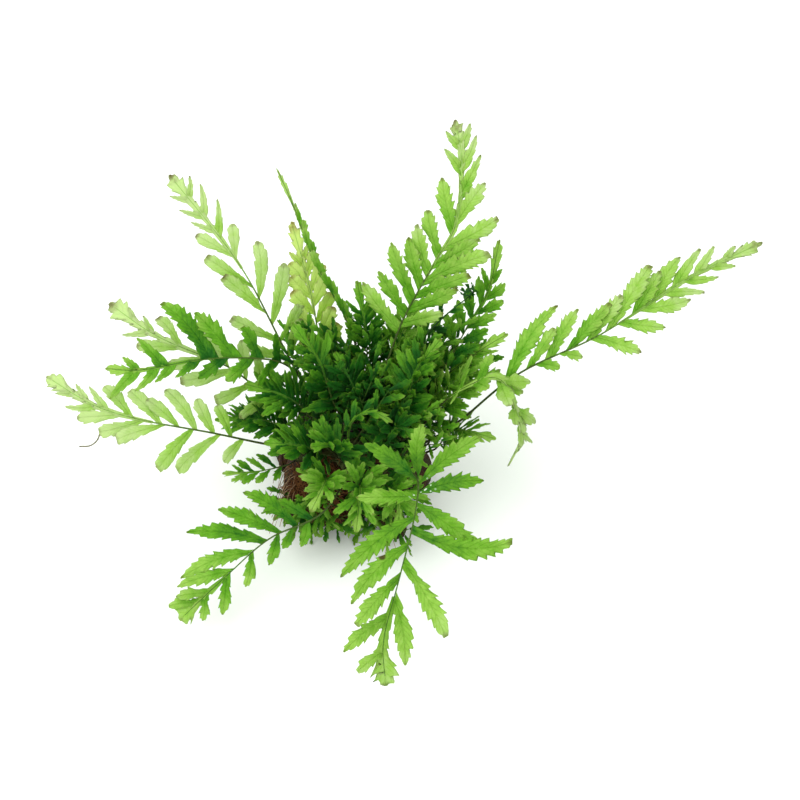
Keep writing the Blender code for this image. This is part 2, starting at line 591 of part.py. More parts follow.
class Course:
    """The way of one frond's stem and rib through space, and the frames in which its leaflets stand."""

    def __init__(self, frond, middle):
        """Takes the frond and the places along the middle of its rhizome."""
        exact = frond.place * (len(middle) - 1)
        i = min(int(exact), len(middle) - 2)
        start = middle[i].lerp(middle[i + 1], exact - i)
        along = (middle[i + 1] - middle[i]).normalized()
        outward = Vector(frond.path[0]) - start
        outward = (outward - along * outward.dot(along)).normalized()
        outward.z = max(outward.z, 0.6)
        outward = (outward - along * outward.dot(along)).normalized()
        foot = start + outward * (RHIZOME_RADIUS + 2.2 * GAP)
        self.frond = frond
        self.places = smooth_path([foot, foot + outward * 0.004, *frond.path], 60)
        self.length = sum((b - a).length for a, b in zip(self.places, self.places[1:]))
        heading = self.places[-1] - self.places[0]
        heading.z = 0.0
        self.side = heading.normalized().cross(UP)

    def at(self, share):
        """The place and the forward, right and upward directions at a share of the frond's length."""
        exact = share * (len(self.places) - 1)
        i = min(int(exact), len(self.places) - 2)
        place = self.places[i].lerp(self.places[i + 1], exact - i)
        before = self.places[max(i - 1, 0)]
        after = self.places[min(i + 2, len(self.places) - 1)]
        forward = (after - before).normalized()
        right = (self.side - forward * self.side.dot(forward)).normalized()
        right = Matrix.Rotation(math.radians(self.frond.roll), 3, forward) @ right
        return place, forward, right, right.cross(forward)

    def first_share(self):
        """The share of the frond's length at its first leaflet."""
        return min(leaflet[0] for leaflet in self.frond.left + self.frond.right)

    def stations(self):
        """Shares of the frond's length at the rib's rows, and a list of its leaflets with their first rows."""
        frond = self.frond
        foot = FOOT_WIDTH / self.length
        grown = [(leaflet, -1) for leaflet in frond.left] + [(leaflet, 1) for leaflet in frond.right]
        grown.sort(key=lambda item: item[0][0])
        first = self.first_share() - foot / 2
        steps = STEM_STEPS - 1 if first * self.length < SHORT_STEM else STEM_STEPS
        shares = [first * (k / steps) ** 1.3 for k in range(steps)]
        placed = []
        for leaflet, side in grown:
            start = leaflet[0] - foot / 2
            if not placed or start - shares[-1] > LEAST_STRETCH / self.length:
                shares.append(start)
            placed.append((leaflet, side, len(shares) - 1))
            shares.append(max(start, shares[-1]) + foot)
        return shares, placed

    def outline(self, leaflet, side, way):
        """The rows of a leaflet, from its foot on the rib to its tip."""
        frond = self.frond
        share = leaflet[0]
        lift_aside, size = way
        longest = max(other[1] for other in frond.left + frond.right)
        first = self.first_share()
        past = (share - first) / (1 - first)
        place, forward, right, normal = self.at(share)
        length = leaflet[1] * size
        half = frond.breadth / 2 * (leaflet[1] / longest) ** 0.4 * (0.6 + 0.4 * size)
        spread = math.radians(leaflet[2])
        lift = leaflet[3] if len(leaflet) > 3 else frond.lift + (END_LIFT - frond.lift) * past
        bend = leaflet[4] if len(leaflet) > 4 else 0.0
        lift = math.radians(lift + lift_aside)
        outward = right * side * math.cos(lift) + normal * math.sin(lift)
        reach = forward * math.cos(spread) + outward * math.sin(spread)
        tilt = math.radians(frond.tilt)
        facing = Vector(TO_LIGHT) if frond.to_light else normal * math.cos(tilt) - forward * math.sin(tilt)
        across = facing.cross(reach).normalized()
        if across.dot(forward) < 0:
            across.negate()
        foot = place + right * side * RIB_HALF
        rows = [(foot - forward * FOOT_WIDTH / 2, foot + forward * FOOT_WIDTH / 2)]
        for out, width in LONG_OUTLINE if leaflet[1] >= LONG_LEAFLET else SHORT_OUTLINE:
            middle = foot + reach * length * out - UP * (length * out) ** 2 * DROOP
            middle += across * bend * length * 4 * out * (1 - out)
            rows.append((middle - across * half * width, middle + across * half * width))
        tip = foot + reach * length - UP * length**2 * DROOP
        return [*rows, (tip, tip)]


def slab(rows, half):
    """The corners of the slab of that half thickness round a strip's rows, and a search tree of it."""
    points = []
    for i, (left, right) in enumerate(rows):
        before = rows[max(i - 1, 0)]
        after = rows[min(i + 1, len(rows) - 1)]
        forward = (after[0] + after[1] - before[0] - before[1]).normalized()
        wide = max(rows, key=lambda row: (row[1] - row[0]).length)
        across = (wide[1] - wide[0]).normalized()
        normal = across.cross(forward).normalized() * half
        end = forward * half * (1 if i == len(rows) - 1 else -1 if i == 0 else 0)
        points += [left - across * half + normal + end, right + across * half + normal + end]
        points += [right + across * half - normal + end, left - across * half - normal + end]
    faces = [(0, 1, 2, 3), tuple(range(len(points) - 4, len(points)))]
    for i in range(len(rows) - 1):
        a, b = 4 * i, 4 * i + 4
        faces += [(a + k, a + (k + 1) % 4, b + (k + 1) % 4, b + k) for k in range(4)]
    return points, BVHTree.FromPolygons(points, faces)


class Crowd:
    """Everything that a new leaflet has to stay clear of."""

    def __init__(self):
        """Starts with nothing in the way."""
        self.pieces = []

    def add(self, points, tree, owner):
        """Adds a piece, known by its corners and its search tree, with its owner."""
        low = [min(p[i] for p in points) for i in range(3)]
        high = [max(p[i] for p in points) for i in range(3)]
        self.pieces.append((tree, low, high, owner))

    def free(self, points, tree, own_rib):
        """Whether a piece stays above the floor and crosses nothing but its own rib."""
        low = [min(p[i] for p in points) for i in range(3)]
        high = [max(p[i] for p in points) for i in range(3)]
        if low[2] < GAP:
            return False
        for other, other_low, other_high, owner in self.pieces:
            apart = any(low[i] > other_high[i] or high[i] < other_low[i] for i in range(3))
            if owner != own_rib and not apart and tree.overlap(other):
                return False
        return True


def grow_coil(sheet, row, course):
    """A rolled tip: the rib goes on in a spiral above itself."""
    radius = course.frond.coil
    place, forward, right, normal = course.at(1.0)
    centre = place + normal * radius
    for k in range(1, COIL_STEPS + 1):
        angle = math.radians(COIL_TURN * k / COIL_STEPS)
        reach = radius * (1 - COIL_SHRINK * k / COIL_STEPS)
        middle = centre + (forward * math.sin(angle) - normal * math.cos(angle)) * reach
        row = sheet.grow(row, middle - right * RIB_HALF, middle + right * RIB_HALF)


def build_frond(course, crowd, collection, surface):
    """A frond: the rib grows row by row, with a leaflet from each foot, and the sheet is then thickened."""
    frond = course.frond
    shares, placed = course.stations()
    sheet = Sheet()
    rows = []
    for share in shares:
        place, _, right, _ = course.at(share)
        ends = (place - right * RIB_HALF, place + right * RIB_HALF)
        rows.append(sheet.grow(rows[-1], *ends) if rows else sheet.start(*ends))
    if frond.coil:
        place, _, right, _ = course.at(1.0)
        end = sheet.grow(rows[-1], place - right * RIB_HALF, place + right * RIB_HALF)
        grow_coil(sheet, end, course)
    else:
        place, _, right, _ = course.at(shares[-1] + (1 - shares[-1]) * TIP_START)
        swell = right * frond.breadth * 0.4
        sheet.close(sheet.grow(rows[-1], place - swell, place + swell), course.places[-1])
    rib = len(sheet.shape.verts) if frond.coil else 2 * len(rows)
    for leaflet, side, first in placed:
        for way in WAYS:
            outline = course.outline(leaflet, side, way)
            if crowd.free(*slab(outline, LAMINA / 2 + GAP), (frond.name, "rib")):
                break
        else:
            continue
        crowd.add(*slab(outline, LAMINA / 2), (frond.name, side, leaflet[0]))
        column = 0 if side < 0 else 1
        row = (rows[first][column], rows[first + 1][column])
        for near, far in outline[1:-1]:
            row = sheet.grow(row, near, far)
        sheet.close(row, outline[-1][0])
    made = add_object(f"frond_{frond.name}", sheet.finish(frond.name), collection, surface)
    group = made.vertex_groups.new(name="rib")
    group.add(list(range(rib)), 1.0, "REPLACE")
    wall = made.modifiers.new("wall", "SOLIDIFY")
    wall.thickness = RIB
    wall.offset = 0.0
    wall.vertex_group = "rib"
    wall.thickness_vertex_group = LAMINA / RIB
    return made


def main():
    """Builds the wood, the rhizomes, the roots and the fronds."""
    for old in list(bpy.data.objects):
        bpy.data.objects.remove(old)
    plant = bpy.data.collections.new("bolbitis_on_driftwood")
    cutters = bpy.data.collections.new("cutters")
    bpy.context.scene.collection.children.link(plant)
    bpy.context.scene.collection.children.link(cutters)
    wood_surface = material("driftwood", (0.085, 0.036, 0.017), 0.8)
    rhizome_surface = material("rhizome", (0.060, 0.065, 0.020), 0.7)
    root_surface = material("roots", (0.075, 0.028, 0.012), 0.85)
    leaf_surface = material("leaf", (0.080, 0.300, 0.020), 0.45)

    trunk = build_trunk(plant, wood_surface)
    cutter = grown(trunk, GAP * 1.3, cutters)
    wood = [
        trunk,
        build_branch("driftwood_front_branch", FRONT_BRANCH, cutter, plant, wood_surface),
        build_branch("driftwood_back_branch", BACK_BRANCH, cutter, plant, wood_surface),
        build_branch("driftwood_left_branch", LEFT_BRANCH, cutter, plant, wood_surface),
        build_root_mat(trunk, plant, root_surface),
    ]
    graph = bpy.context.evaluated_depsgraph_get()
    trees = [BVHTree.FromObject(piece, graph) for piece in wood]
    middles = {}
    for name, line in RHIZOME_LINES.items():
        rhizome, middles[name] = build_rhizome(name, line, trees, plant, rhizome_surface)
        wood.append(rhizome)

    crowd = Crowd()
    graph = bpy.context.evaluated_depsgraph_get()
    for piece in wood:
        corners = [v.co for v in piece.evaluated_get(graph).data.vertices]
        crowd.add(corners, BVHTree.FromObject(piece, graph), "wood")
    courses = [Course(frond, middles[frond.line]) for frond in FRONDS]
    for course in courses:
        leafy = course.first_share() - FOOT_WIDTH / course.length
        for piece, start, end in (("stem", 0.0, leafy), ("rib", leafy, 1.0)):
            rows = []
            for k in range(13):
                place, _, right, _ = course.at(start + (end - start) * k / 12)
                rows.append((place - right * RIB_HALF, place + right * RIB_HALF))
            crowd.add(*slab(rows, RIB / 2), (course.frond.name, piece))
    for course in courses:
        build_frond(course, crowd, plant, leaf_surface)


if __name__ == "__main__":
    main()
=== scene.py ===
"""The finished look of a small bolbitis fern that grows on a piece of driftwood.

Metres, +Z up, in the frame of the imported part. Every frond replaces its plain solid and follows it, leaflet for
leaflet. The wood, the rhizomes and the root mat are finer copies of their solids.
"""

import logging
import math
import random
from collections.abc import Callable
from dataclasses import dataclass
from enum import Enum

import bmesh
import bpy
from mathutils import Matrix, Vector, noise
from mathutils.bvhtree import BVHTree
from mathutils.kdtree import KDTree


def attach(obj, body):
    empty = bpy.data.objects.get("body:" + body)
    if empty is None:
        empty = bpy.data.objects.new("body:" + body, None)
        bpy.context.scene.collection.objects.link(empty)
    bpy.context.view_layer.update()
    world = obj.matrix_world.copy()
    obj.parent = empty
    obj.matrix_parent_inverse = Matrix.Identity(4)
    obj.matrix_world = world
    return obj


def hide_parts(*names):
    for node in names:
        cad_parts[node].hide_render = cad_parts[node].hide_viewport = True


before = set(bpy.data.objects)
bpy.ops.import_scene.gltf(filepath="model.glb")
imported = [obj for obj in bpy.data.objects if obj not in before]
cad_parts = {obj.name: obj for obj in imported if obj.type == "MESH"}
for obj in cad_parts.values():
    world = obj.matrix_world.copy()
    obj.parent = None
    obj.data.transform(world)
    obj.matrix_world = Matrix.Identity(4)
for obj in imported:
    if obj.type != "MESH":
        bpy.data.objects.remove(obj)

LOG = logging.getLogger("fern")
UP = Vector((0.0, 0.0, 1.0))

Colour = tuple[float, float, float]
Frame = tuple[Vector, Vector, Vector, Vector]  # a place, then the forward, across and upward directions
Material = bpy.types.Material
Socket = bpy.types.NodeSocket
Shape = bmesh.types.BMesh


def mm(*places: tuple) -> tuple:
    """Places that are given in millimetres."""
    return tuple(tuple(value / 1000 for value in place) for place in places)


def blades(*rows: tuple) -> tuple:
    """Leaflets that are given in hundredths of the frond's length, millimetres and then their turns."""
    return tuple((share / 100, length / 1000, *turns) for share, length, *turns in rows)


# The values that the solids were built from
GAP = 0.0003  # clearance between pieces that touch
RIB_HALF = 0.0007  # half the width of the solid rib
DROOP = 3.0  # fall of a leaflet below its straight line, per metre squared of its length
END_LIFT = 24.0  # rise of the last leaflets out of the blade's plane, in degrees
TO_LIGHT = Vector((0.0, -0.64, 0.77))  # where the light comes from
RHIZOME_RADIUS = 0.0028
RHIZOME_LINES: dict[str, tuple] = {
    "rhizome": mm((-36, -10), (-22, -4), (-6, -3), (10, 2), (22, 2), (30, 5)),
    "back_rhizome": mm((-4, 6), (0, 14), (8, 19)),
    "front_rhizome": mm((-14, -12), (-9, -18), (3, -21)),
}
WOOD_NODES = ("driftwood_trunk", "driftwood_front_branch", "driftwood_back_branch", "driftwood_left_branch")
WAYS = (  # the turns that a leaflet may have taken: lift in degrees, share of its length
    (0, 1.0), (14, 1.0), (-14, 1.0), (28, 1.0), (-28, 1.0), (0, 0.8), (20, 0.8), (-20, 0.8), (42, 0.9),
    (0, 0.6), (24, 0.6), (-24, 0.6), (48, 0.6), (-40, 0.6), (0, 0.45), (30, 0.45), (-30, 0.45),
)
LEAST_RISE = 0.6  # upward part of the direction that a stem leaves its rhizome in
FOOT_GAPS = 2.2  # clearances from the rhizome to a stem's foot
WOOD_GAPS = 1.5  # clearances from the wood to a rhizome
KNOB_ROOM = 1.1  # room that a rhizome needs, over its radius
NO_WOOD = 0.03  # height that a rhizome has where no wood is under it
LIFT_STEP = 0.0003  # by which it is lifted until it is clear of the wood
STRAIGHT = 0.004  # length of the straight foot
COURSE_STEPS = 60
LAST_PAIR = 0.86  # where the last leaflets of a small frond would stand, as a share of its length
LAST_SPREAD = 34  # their angle to the rib, in degrees

# Values of the finer shapes
CURVE_CUTS = 24  # fine steps from knot to knot of a curve
SAME_PLACE = 0.00002  # corners nearer than this are one
SOCKET = 0.6  # where in the rhizome a stem begins, as a share of its radius
ABOVE_WOOD = 0.08  # height that is above all of the wood
LIGHT_START = 0.12  # how far from the table the light is followed
TOOTH_RISE, TOOTH_FALL = 0.78, 0.22  # shares of a tooth's span before and past its point
OFF_FLOOR = 0.0004  # least height of a leaf or a thread
STALK_SLOT, DRY_SLOT = 1, 2  # material slots of a frond, after the leaf's
FIBRE_SLOT = 1  # material slot of the mat's roots, after the ground's
MIDDLE = 0.45  # where along a blade or a frond its green is the given one
TIP_MATCH = 0.0011  # a leaflet's tip is on its solid when a corner is this near
TIP_NEARER = 0.0001  # a turn is only taken when it brings the tip nearer by this


class Tone(Enum):
    """How light a frond's green is, from 0 for the darkest to 1 for the palest.

    The dark and deep tones, given to the fronds inside the crown, are painted shade.
    """

    DARK = 0.20
    DEEP = 0.34
    FRESH = 0.50
    LIGHT = 0.57
    BRIGHT = 0.72
    PALE = 0.88


def leaflets(first: float, pairs: int, longest: float, spread: float) -> dict[str, tuple]:
    """Sets out the leaflets of a small frond, in alternate order and shorter towards the tip.

    Args:
        first: share of the frond's length at its first leaflet.
        pairs: how many pairs it has.
        longest: length that the lowest ones follow, in metres.
        spread: angle of the lowest ones to the rib, in degrees.

    Returns:
        The left and the right leaflets, under those names.
    """
    sides = {}
    for side, start in (("left", 0.0), ("right", 0.45)):
        steps = [(k + start) / pairs for k in range(pairs)]
        sides[side] = tuple(
            (
                first + (LAST_PAIR - first) * past,
                longest * (0.88 + 0.5 * past) * (1 - past) ** 0.5,
                spread - (spread - LAST_SPREAD) * past,
            )
            for past in steps
        )
    return sides


@dataclass(frozen=True)
class Frond:
    """One frond, by the same values as its solid, and how its leaflets look.

    A leaflet is its share of the frond's length, its own length and its angle to the rib in degrees. It may go on
    with its rise out of the blade's plane in degrees, and then with its bend to the frond's tip as a share of its
    length.
    """

    name: str
    line: str  # the rhizome that it grows from
    place: float  # where on that rhizome, from 0 to 1
    path: tuple
    left: tuple
    right: tuple
    breadth: float  # width of its longest leaflet
    roll: float = 0.0
    lift: float = 20.0
    tilt: float = 22.0
    to_light: bool = False
    coil: float = 0.0
    # how light its green is; the dark and deep tones of the inner fronds are painted shade
    tone: Tone = Tone.FRESH
    between: float = 0.0  # length of the thin leaflets between the others, as a share of theirs
    smooth: bool = False  # whether its leaflets are oblong and nearly smooth
    base: float = 0.0  # least width of a leaflet's foot, as a share of its half width
    fullness: float = 1.06  # width of a toothed blade over that of its solid
    wing: float = 0.42  # how far back its rib is winged, as a share of its blade
    end: float = 1.0  # width of its last blade over the usual one
    stem: float = 1.0  # thickness of its stem over the usual one
    lobes_past: float = 0.62  # leaflets this far along the blade are plain lobes
    thread: tuple = ()  # places that a dry thread passes which hangs from it
    scorch: float = 0.25  # how brown the leaflet ends are
    marked: bool = False  # whether its skin has a brown spot and pale flecks that are painted highlights


FRONDS: tuple[Frond, ...] = (
    Frond(
        "tall_back", "rhizome", 0.56,
        path=mm((10, 20, 76), (19, 35, 96), (36, 49, 126), (45, 60, 138), (48, 86, 158), (45, 104, 168)),
        left=blades((33, 32, 56), (38, 28, 54), (43, 36, 44), (48, 28, 42), (53, 27, 42), (59, 24, 46), (67, 28, 32),
                    (85, 13, 40), (92, 10, 34)),
        right=blades((35, 24, 46), (40, 29, 36), (45, 32, 34), (50, 41, 30), (56, 27, 28), (62, 30, 28), (70, 24, 26),
                     (78, 22, 22), (86, 17, 26), (92, 12, 34)),
        breadth=0.0100, roll=8, tone=Tone.BRIGHT, base=0.62, fullness=1.2, wing=0.6, scorch=0.5,
    ),
    Frond(
        "long_right", "rhizome", 0.90,
        path=mm((45, -4, 60), (76, 9, 84), (117, 19, 103), (163, 49, 112), (202, 72, 114)),
        left=blades((26, 34, 42), (31, 48, 27), (37, 23, 32), (42, 29, 36), (47, 30, 30), (52, 27, 30), (57, 40, 30),
                    (64, 25, 26), (70, 26, 28), (76, 24, 26), (82, 16, 30), (90, 8, 28)),
        right=blades((29, 12, 54), (39, 11, 36), (45, 10, 38), (53, 24, 50), (60, 21, 46), (66, 24, 24), (73, 18, 36),
                     (79, 15, 28), (86, 11, 28)),
        breadth=0.0095, roll=22, tone=Tone.BRIGHT, base=0.66, fullness=1.25, scorch=0.5,
    ),
    Frond(
        "front_fall", "front_rhizome", 0.80,
        path=mm((14, -24, 54), (22, -38, 66), (26, -60, 86), (24, -90, 98), (17, -118, 89), (10, -136, 66),
                (11, -146, 44)),
        left=blades((33, 28, 86, 84), (38, 38, 88, 40), (44, 31, 88, 16), (50, 35, 62, -14), (58, 46, 94, 8, 0.17),
                    (67, 36, 46, 8), (76, 29, 27, 24)),
        right=blades((35, 32, 88, 42), (46, 28, 76, 8), (55, 43, 42, -6), (63, 34, 32, 4), (71, 28, 33, 14),
                     (81, 24, 46, 22), (90, 14, 64, 24)),
        breadth=0.0102, to_light=True, tone=Tone.LIGHT, marked=True, lobes_past=0.95, end=1.6, fullness=1.12,
        wing=0.22,
    ),
    Frond(
        "left_reach", "rhizome", 0.10,
        path=mm((-43, -16, 58), (-77, -16, 69), (-111, -12, 74), (-134, -4, 75), (-162, 18, 72)),
        left=blades((26, 15, 62), (34, 28, 52), (43, 26, 62), (53, 23, 30), (60, 21, 30), (68, 20, 20), (77, 15, 26),
                    (87, 9, 28)),
        right=blades((30, 17, 56), (36, 19, 54), (42, 25, 48), (48, 20, 34), (54, 22, 38), (64, 20, 38), (73, 14, 36),
                     (81, 10, 30)),
        breadth=0.0080, roll=-28, tone=Tone.PALE, smooth=True, end=1.5,
        thread=((-0.1305, -0.0185, 0.073), (-0.1335, -0.0170, 0.064), (-0.1385, -0.0141, 0.056),
                (-0.145, -0.0098, 0.050)),
    ),
    Frond(
        "back_left", "rhizome", 0.36, path=mm((-27, 13, 60), (-39, 26, 78), (-63, 57, 112), (-101, 105, 130)),
        left=blades((30, 22, 46), (36, 28, 38), (46, 29, 22), (55, 27, 30), (66, 21, 26), (76, 12, 34), (82, 12, 38),
                    (89, 10, 42)),
        right=blades((31, 20, 50), (36, 22, 54), (42, 34, 36), (51, 29, 28), (65, 17, 32), (74, 19, 38), (82, 17, 34),
                     (90, 11, 44)),
        breadth=0.0078, roll=-20, tone=Tone.PALE, smooth=True, scorch=0.5, end=1.5,
    ),
    Frond(
        "upper_left", "rhizome", 0.25,
        path=mm((-34, 6, 60), (-52, 8, 72), (-68, 16, 81), (-104, 28, 91), (-131, 50, 92)),
        left=blades((28, 19, 60), (36, 21, 62), (45, 26, 42), (56, 18, 36), (66, 21, 20), (79, 13, 42)),
        right=blades((31, 18, 50), (39, 20, 46), (47, 22, 38), (54, 22, 38), (66, 18, 32), (78, 9, 34), (87, 7, 34)),
        breadth=0.0074, roll=-28, tone=Tone.PALE, smooth=True, scorch=0.5, wing=0.5, end=2.0,
    ),
    Frond(
        "left_arch", "rhizome", 0.31,
        path=mm((-31, 15, 70), (-39, 15, 84), (-52, 10, 95), (-80, 5, 100), (-111, 5, 92), (-130, 13, 84)),
        left=blades((38, 17, 50), (48, 17, 42), (57, 15, 38), (66, 12, 36), (74, 11, 40), (80, 14, 48), (87, 18, 54)),
        right=blades((37, 16, 58), (45, 18, 60), (53, 32, 50), (61, 37, 62), (77, 19, 62), (87, 9, 46)),
        breadth=0.0094, roll=-34, fullness=1.3, base=0.8, lobes_past=0.4, end=0.8,
    ),
    Frond(
        "front_left", "front_rhizome", 0.36,
        path=mm((-11, -36, 53), (-22, -52, 49), (-47, -60, 40), (-70, -77, 29), (-91, -92, 16)),
        left=blades((36, 12, 54), (43, 10, 50), (49, 15, 52), (62, 16, 42), (75, 18, 46), (87, 11, 48)),
        right=blades((34, 20, 60), (41, 34, 64), (48, 33, 50), (55, 39, 50), (62, 35, 28), (73, 26, 32), (85, 15, 40),
                     (91, 13, 42)),
        breadth=0.0096, roll=-22, tone=Tone.LIGHT, lobes_past=0.95, end=1.4, wing=0.25,
    ),
    Frond(
        "thin_back", "back_rhizome", 0.30,
        path=mm((-4, 30, 74), (-10, 38, 94), (-25, 54, 118), (-36, 76, 136), (-45, 97, 142)),
        **leaflets(0.32, 6, 0.015, 20), breadth=0.0046, roll=70, to_light=True, tone=Tone.LIGHT, wing=1.0, end=0.8,
        base=0.9,
    ),
    Frond(
        "pale_back", "back_rhizome", 0.05,
        path=mm((-16, 20, 60), (-23, 34, 80), (-29, 55, 102), (-38, 83, 118)),
        **leaflets(0.34, 7, 0.019, 40), breadth=0.0062, roll=-6, tone=Tone.PALE, smooth=True, scorch=0.9,
        fullness=1.4, end=1.5,
    ),
    Frond(
        "young_curl", "rhizome", 0.68, path=mm((18, 18, 66), (28, 28, 87), (40, 34, 100), (53, 40, 109)),
        left=blades((50, 12, 58), (64, 11, 56), (78, 9, 50)),
        right=blades((57, 12, 58), (71, 10, 54), (86, 8, 46)),
        breadth=0.0050, coil=0.0034, tone=Tone.DARK, stem=1.7,
    ),
    Frond(
        "dark_back", "rhizome", 0.78, path=mm((34, 16, 66), (52, 38, 88), (62, 50, 100), (68, 70, 118)),
        **leaflets(0.40, 6, 0.020, 46), breadth=0.0076,
    ),
    Frond(
        "right_nod", "rhizome", 0.84,
        path=mm((38, 1, 70), (52, 1, 85), (66, 2, 89), (74, -4, 77), (78, -12, 62), (72, -19, 46)),
        left=blades((40, 20, 60), (50, 16, 60), (60, 14, 50), (74, 14, 40), (84, 12, 50)),
        right=blades((38, 18, 60), (48, 18, 62), (58, 17, 66), (72, 10, 60), (82, 10, 56)),
        breadth=0.0084, tone=Tone.BRIGHT, wing=0.8, end=2.4, fullness=1.3,
    ),
    Frond(
        "right_short", "back_rhizome", 1.00, path=mm((34, 21, 61), (46, 23, 73), (58, 26, 83), (72, 31, 90)),
        **leaflets(0.30, 5, 0.023, 54), breadth=0.0088, roll=16, between=0.85,
    ),
    Frond(
        "left_small", "rhizome", 0.00, path=mm((-40, -22, 50), (-55, -26, 50), (-72, -24, 46)),
        **leaflets(0.36, 4, 0.013, 54), breadth=0.0046,
    ),
    Frond(
        "left_low", "rhizome", 0.15, path=mm((-36, -6, 58), (-52, -4, 64), (-76, -2, 62)),
        **leaflets(0.28, 5, 0.020, 56), breadth=0.0074, tone=Tone.DEEP, between=0.85,
    ),
    Frond(
        "left_middle", "rhizome", 0.21, path=mm((-30, 0, 66), (-40, 0, 78), (-60, 3, 84)),
        **leaflets(0.26, 4, 0.024, 56), breadth=0.0086, roll=-14, lift=26, tone=Tone.DEEP, between=0.85,
    ),
    Frond(
        "left_inner", "front_rhizome", 0.02, path=mm((-20, -20, 56), (-32, -22, 66), (-50, -21, 67)),
        **leaflets(0.26, 4, 0.021, 58), breadth=0.0080, roll=-10, lift=26, tone=Tone.DEEP, between=0.85,
    ),
    Frond(
        "crown_left", "front_rhizome", 0.24, path=mm((-13, -22, 58), (-16, -27, 72), (-26, -34, 80)),
        **leaflets(0.26, 4, 0.022, 62), breadth=0.0076, lift=36, to_light=True, tone=Tone.DEEP, between=0.85,
    ),
    Frond(
        "crown_right", "rhizome", 0.63, path=mm((12, -8, 58), (16, -14, 70), (26, -22, 74)),
        **leaflets(0.26, 4, 0.022, 60), breadth=0.0076, lift=36, to_light=True, tone=Tone.DARK, between=0.85,
    ),
    Frond(
        "crown_back", "rhizome", 0.47, path=mm((-2, 2, 62), (-6, 8, 76), (-15, 19, 90)),
        **leaflets(0.26, 4, 0.023, 56), breadth=0.0078, lift=26, tone=Tone.DARK, between=0.85,
    ),
    Frond(
        "crown_high", "rhizome", 0.41, path=mm((-16, 4, 68), (-23, 12, 90), (-36, 24, 106)),
        **leaflets(0.28, 4, 0.023, 52), breadth=0.0078, to_light=True, tone=Tone.DEEP, between=0.85,
    ),
    Frond(
        "crown_deep", "rhizome", 0.72, path=mm((20, 2, 66), (26, 10, 86), (38, 18, 101)),
        **leaflets(0.28, 4, 0.023, 52), breadth=0.0080, to_light=True, tone=Tone.DEEP, between=0.85,
    ),
    Frond(
        "centre_back", "back_rhizome", 0.55, path=mm((1, 26, 66), (0, 36, 88), (-4, 48, 111)),
        **leaflets(0.30, 5, 0.021, 48), breadth=0.0076, tone=Tone.DEEP, between=0.85,
    ),
    Frond(
        "centre_right", "back_rhizome", 0.82, path=mm((12, 28, 66), (18, 34, 84), (26, 46, 99)),
        **leaflets(0.28, 5, 0.021, 52), breadth=0.0074, between=0.85,
    ),
    Frond(
        "right_middle", "rhizome", 0.95, path=mm((40, 4, 64), (49, 7, 76), (68, 14, 82)),
        **leaflets(0.28, 4, 0.023, 54), breadth=0.0078, lift=24, between=0.85,
    ),
    Frond(
        "right_low", "rhizome", 1.00, path=mm((44, 0, 50), (52, -5, 56), (66, -9, 55)),
        **leaflets(0.26, 4, 0.019, 56), breadth=0.0074, between=0.85,
    ),
    Frond(
        "centre_hook", "front_rhizome", 0.48,
        path=mm((-8, -20, 64), (-6, -18, 80), (4, -18, 87), (14, -22, 84)),
        **leaflets(0.46, 3, 0.013, 50), breadth=0.0060, to_light=True, tone=Tone.DEEP, wing=1.0, end=0.8,
        fullness=0.6,
    ),
    Frond(
        "front_inner", "front_rhizome", 0.13, path=mm((-19, -30, 52), (-20, -43, 61), (-26, -56, 57)),
        **leaflets(0.28, 4, 0.020, 64), breadth=0.0076, lift=40, to_light=True, between=0.85,
    ),
    Frond(
        "front_middle", "front_rhizome", 0.60, path=mm((-3, -34, 52), (-2, -46, 59), (-4, -62, 48)),
        **leaflets(0.28, 4, 0.022, 70), breadth=0.0078, lift=48, to_light=True, between=0.85,
    ),
    Frond(
        "front_right", "front_rhizome", 1.00, path=mm((9, -29, 44), (16, -39, 47), (17, -54, 40)),
        **leaflets(0.28, 4, 0.021, 70), breadth=0.0076, lift=44, to_light=True, between=0.85,
    ),
)


